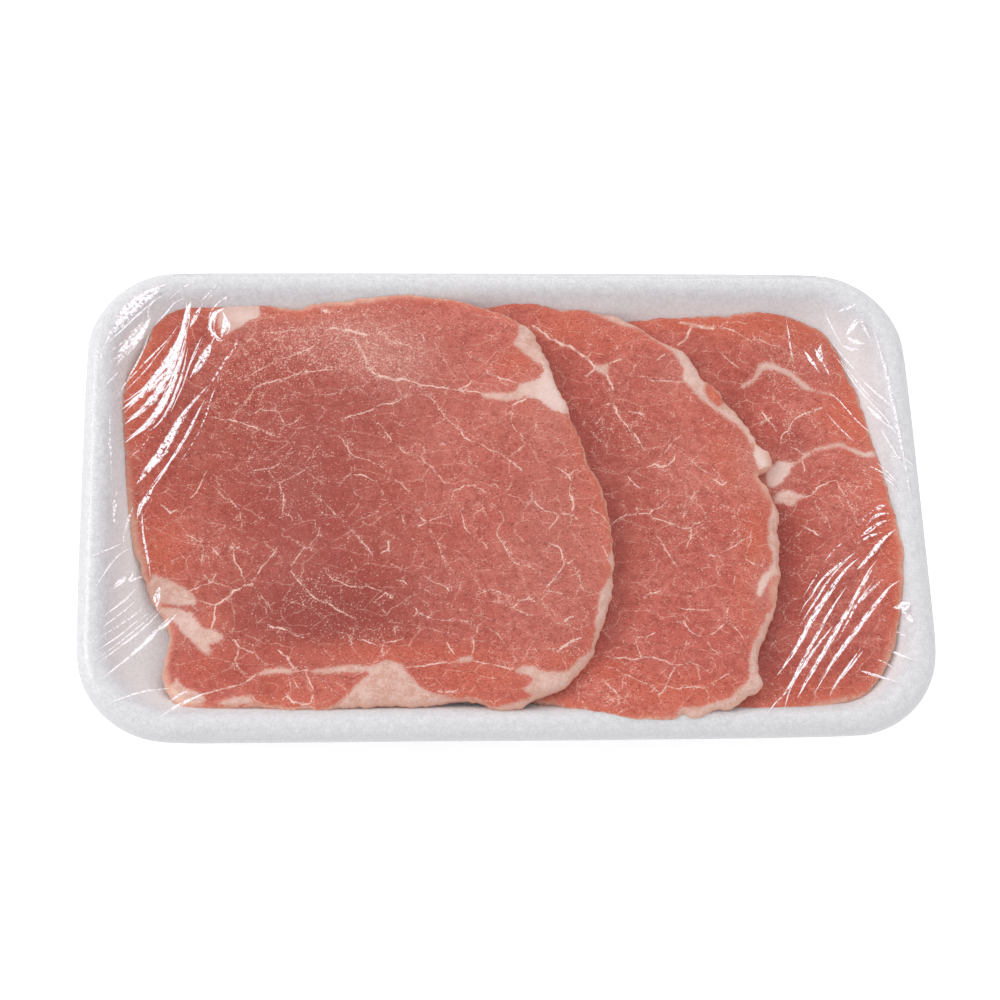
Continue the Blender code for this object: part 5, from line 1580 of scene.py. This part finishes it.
def make_tray(material):
    """The foam tray, from its CAD shape, with rounder corners and lip."""
    piece = frame["nodes"]["tray"].copy()
    piece.data = piece.data.copy()
    piece.name = piece.data.name = "foam_tray"
    bpy.context.scene.collection.objects.link(piece)
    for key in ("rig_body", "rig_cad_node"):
        if key in piece:
            del piece[key]
    piece.parent = None
    only(piece)
    bpy.ops.object.mode_set(mode="EDIT")
    bpy.ops.mesh.select_all(action="SELECT")
    bpy.ops.mesh.remove_doubles(threshold=0.00001)
    bpy.ops.mesh.tris_convert_to_quads(face_threshold=QUAD_TURN, shape_threshold=QUAD_TURN)
    bpy.ops.object.mode_set(mode="OBJECT")
    smooth = piece.modifiers.new("Smooth", "SUBSURF")
    smooth.levels = smooth.render_levels = 2
    bpy.ops.object.modifier_apply(modifier="Smooth")
    bpy.ops.object.shade_smooth()
    places = read_places(piece) / MM
    low, high = places.min(axis=0)[:2], places.max(axis=0)[:2]
    core = (high - low) / 2 - CORNER_RADIUS
    out = places[:, :2] - np.clip(places[:, :2], -core, core)
    far = np.maximum(np.hypot(*out.T), 1e-6)[:, None]
    places[:, :2] += CORNER_FILL * out / far * np.clip((far - 20.0) / 4.0, 0, 1)
    x, y, z = places.T
    write_places(piece, np.stack([*out_of_square(x, y), z], axis=1))

    # Marks for the material, by the way in from the lip's crest: the well, whose shade is lifted
    # with painted light, and the outer lip, darkened as painted shade
    crest = rim_outline(LIP_CREST, 800)
    inward = line_distance(x, y, closed_line(crest)) * np.where(inside(x, y, crest), 1, -1)
    lifted_well = np.clip((inward - 4.5) / 4.0, 0, 1)
    shaded_lip = np.clip((-inward - 0.6) / 2.0, 0, 1) * np.clip((z - 12.0) / 3.0, 0, 1)
    write_marks(piece, "rim", (lifted_well, shaded_lip, 0 * z))
    finish_piece(piece, material, "foam", "tray")


# ---------------------------------------------------------------- stage

def make_table():
    """The table, which stays out of the film's reflections."""
    bpy.ops.object.select_all(action="DESELECT")
    bpy.ops.mesh.primitive_plane_add(size=6.0, location=(0, 0, 0))
    table = bpy.context.object
    table.name = table.data.name = "table"
    table.data.materials.append(pale_table())
    table.visible_glossy = False


def soft_light(name, place, size, power):
    """A softbox that looks at the pack's middle."""
    data = bpy.data.lights.new(name, "AREA")
    data.shape = "RECTANGLE"
    data.size, data.size_y = size
    data.energy = power
    light = bpy.data.objects.new(name, data)
    bpy.context.scene.collection.objects.link(light)
    light.location = place
    light.rotation_euler = (-Vector(place)).to_track_quat("-Z", "Y").to_euler()


def light_stage():
    """White surroundings, dimmer in reflections, with three softboxes."""
    scene = bpy.context.scene
    scene.view_settings.view_transform = "Standard"
    scene.view_settings.look = "None"
    world = bpy.data.worlds.new("studio")
    world.use_nodes = True
    tree = world.node_tree
    mirrored = node(tree, "ShaderNodeLightPath").outputs["Is Glossy Ray"]
    strength = ramp(tree, mirrored, 0.0, 1.0, 0.74, 0.35, smooth=False)
    tree.links.new(strength, tree.nodes["Background"].inputs["Strength"])
    tree.nodes["Background"].inputs["Color"].default_value = (1, 1, 1, 1)
    scene.world = world
    soft_light("left_softbox", (-1.3, 0.35, 1.0), (0.9, 0.9), 11.0)
    soft_light("right_softbox", (1.3, -0.2, 0.9), (0.7, 0.7), 2.5)
    soft_light("back_softbox", (0.3, 1.4, 0.9), (1.0, 0.5), 2.5)


# ---------------------------------------------------------------- assembly

def main():
    place_camera()
    pork = raw_pork()
    tray_top = scan(cad_tree("tray"))
    floor = np.where(np.isnan(tray_top), 0.0, tray_top + FILM_CLEAR)
    for name, layout in (("slice_right", RIGHT_SLICE), ("slice_middle", MIDDLE_SLICE),
                         ("slice_left", LEFT_SLICE)):
        tree = cad_tree(name)
        top = blur(spread_out(scan(tree)), DRAPE_BLUR)
        bottom = blur(spread_out(scan(tree, upward=True)), DRAPE_BLUR)
        outline = make_slice(name, layout, top, bottom, pork)
        covered = inside(PLAN_X, PLAN_Y, outline)
        floor = np.where(covered, np.maximum(floor, top + WAVE_ROOM + FILM_CLEAR), floor)
    surface = stretch_over(floor)
    make_tray(bead_foam())
    make_film(surface, clear_film())
    make_pleats(surface, drawn_pleat_glare())
    make_table()
    light_stage()


main()
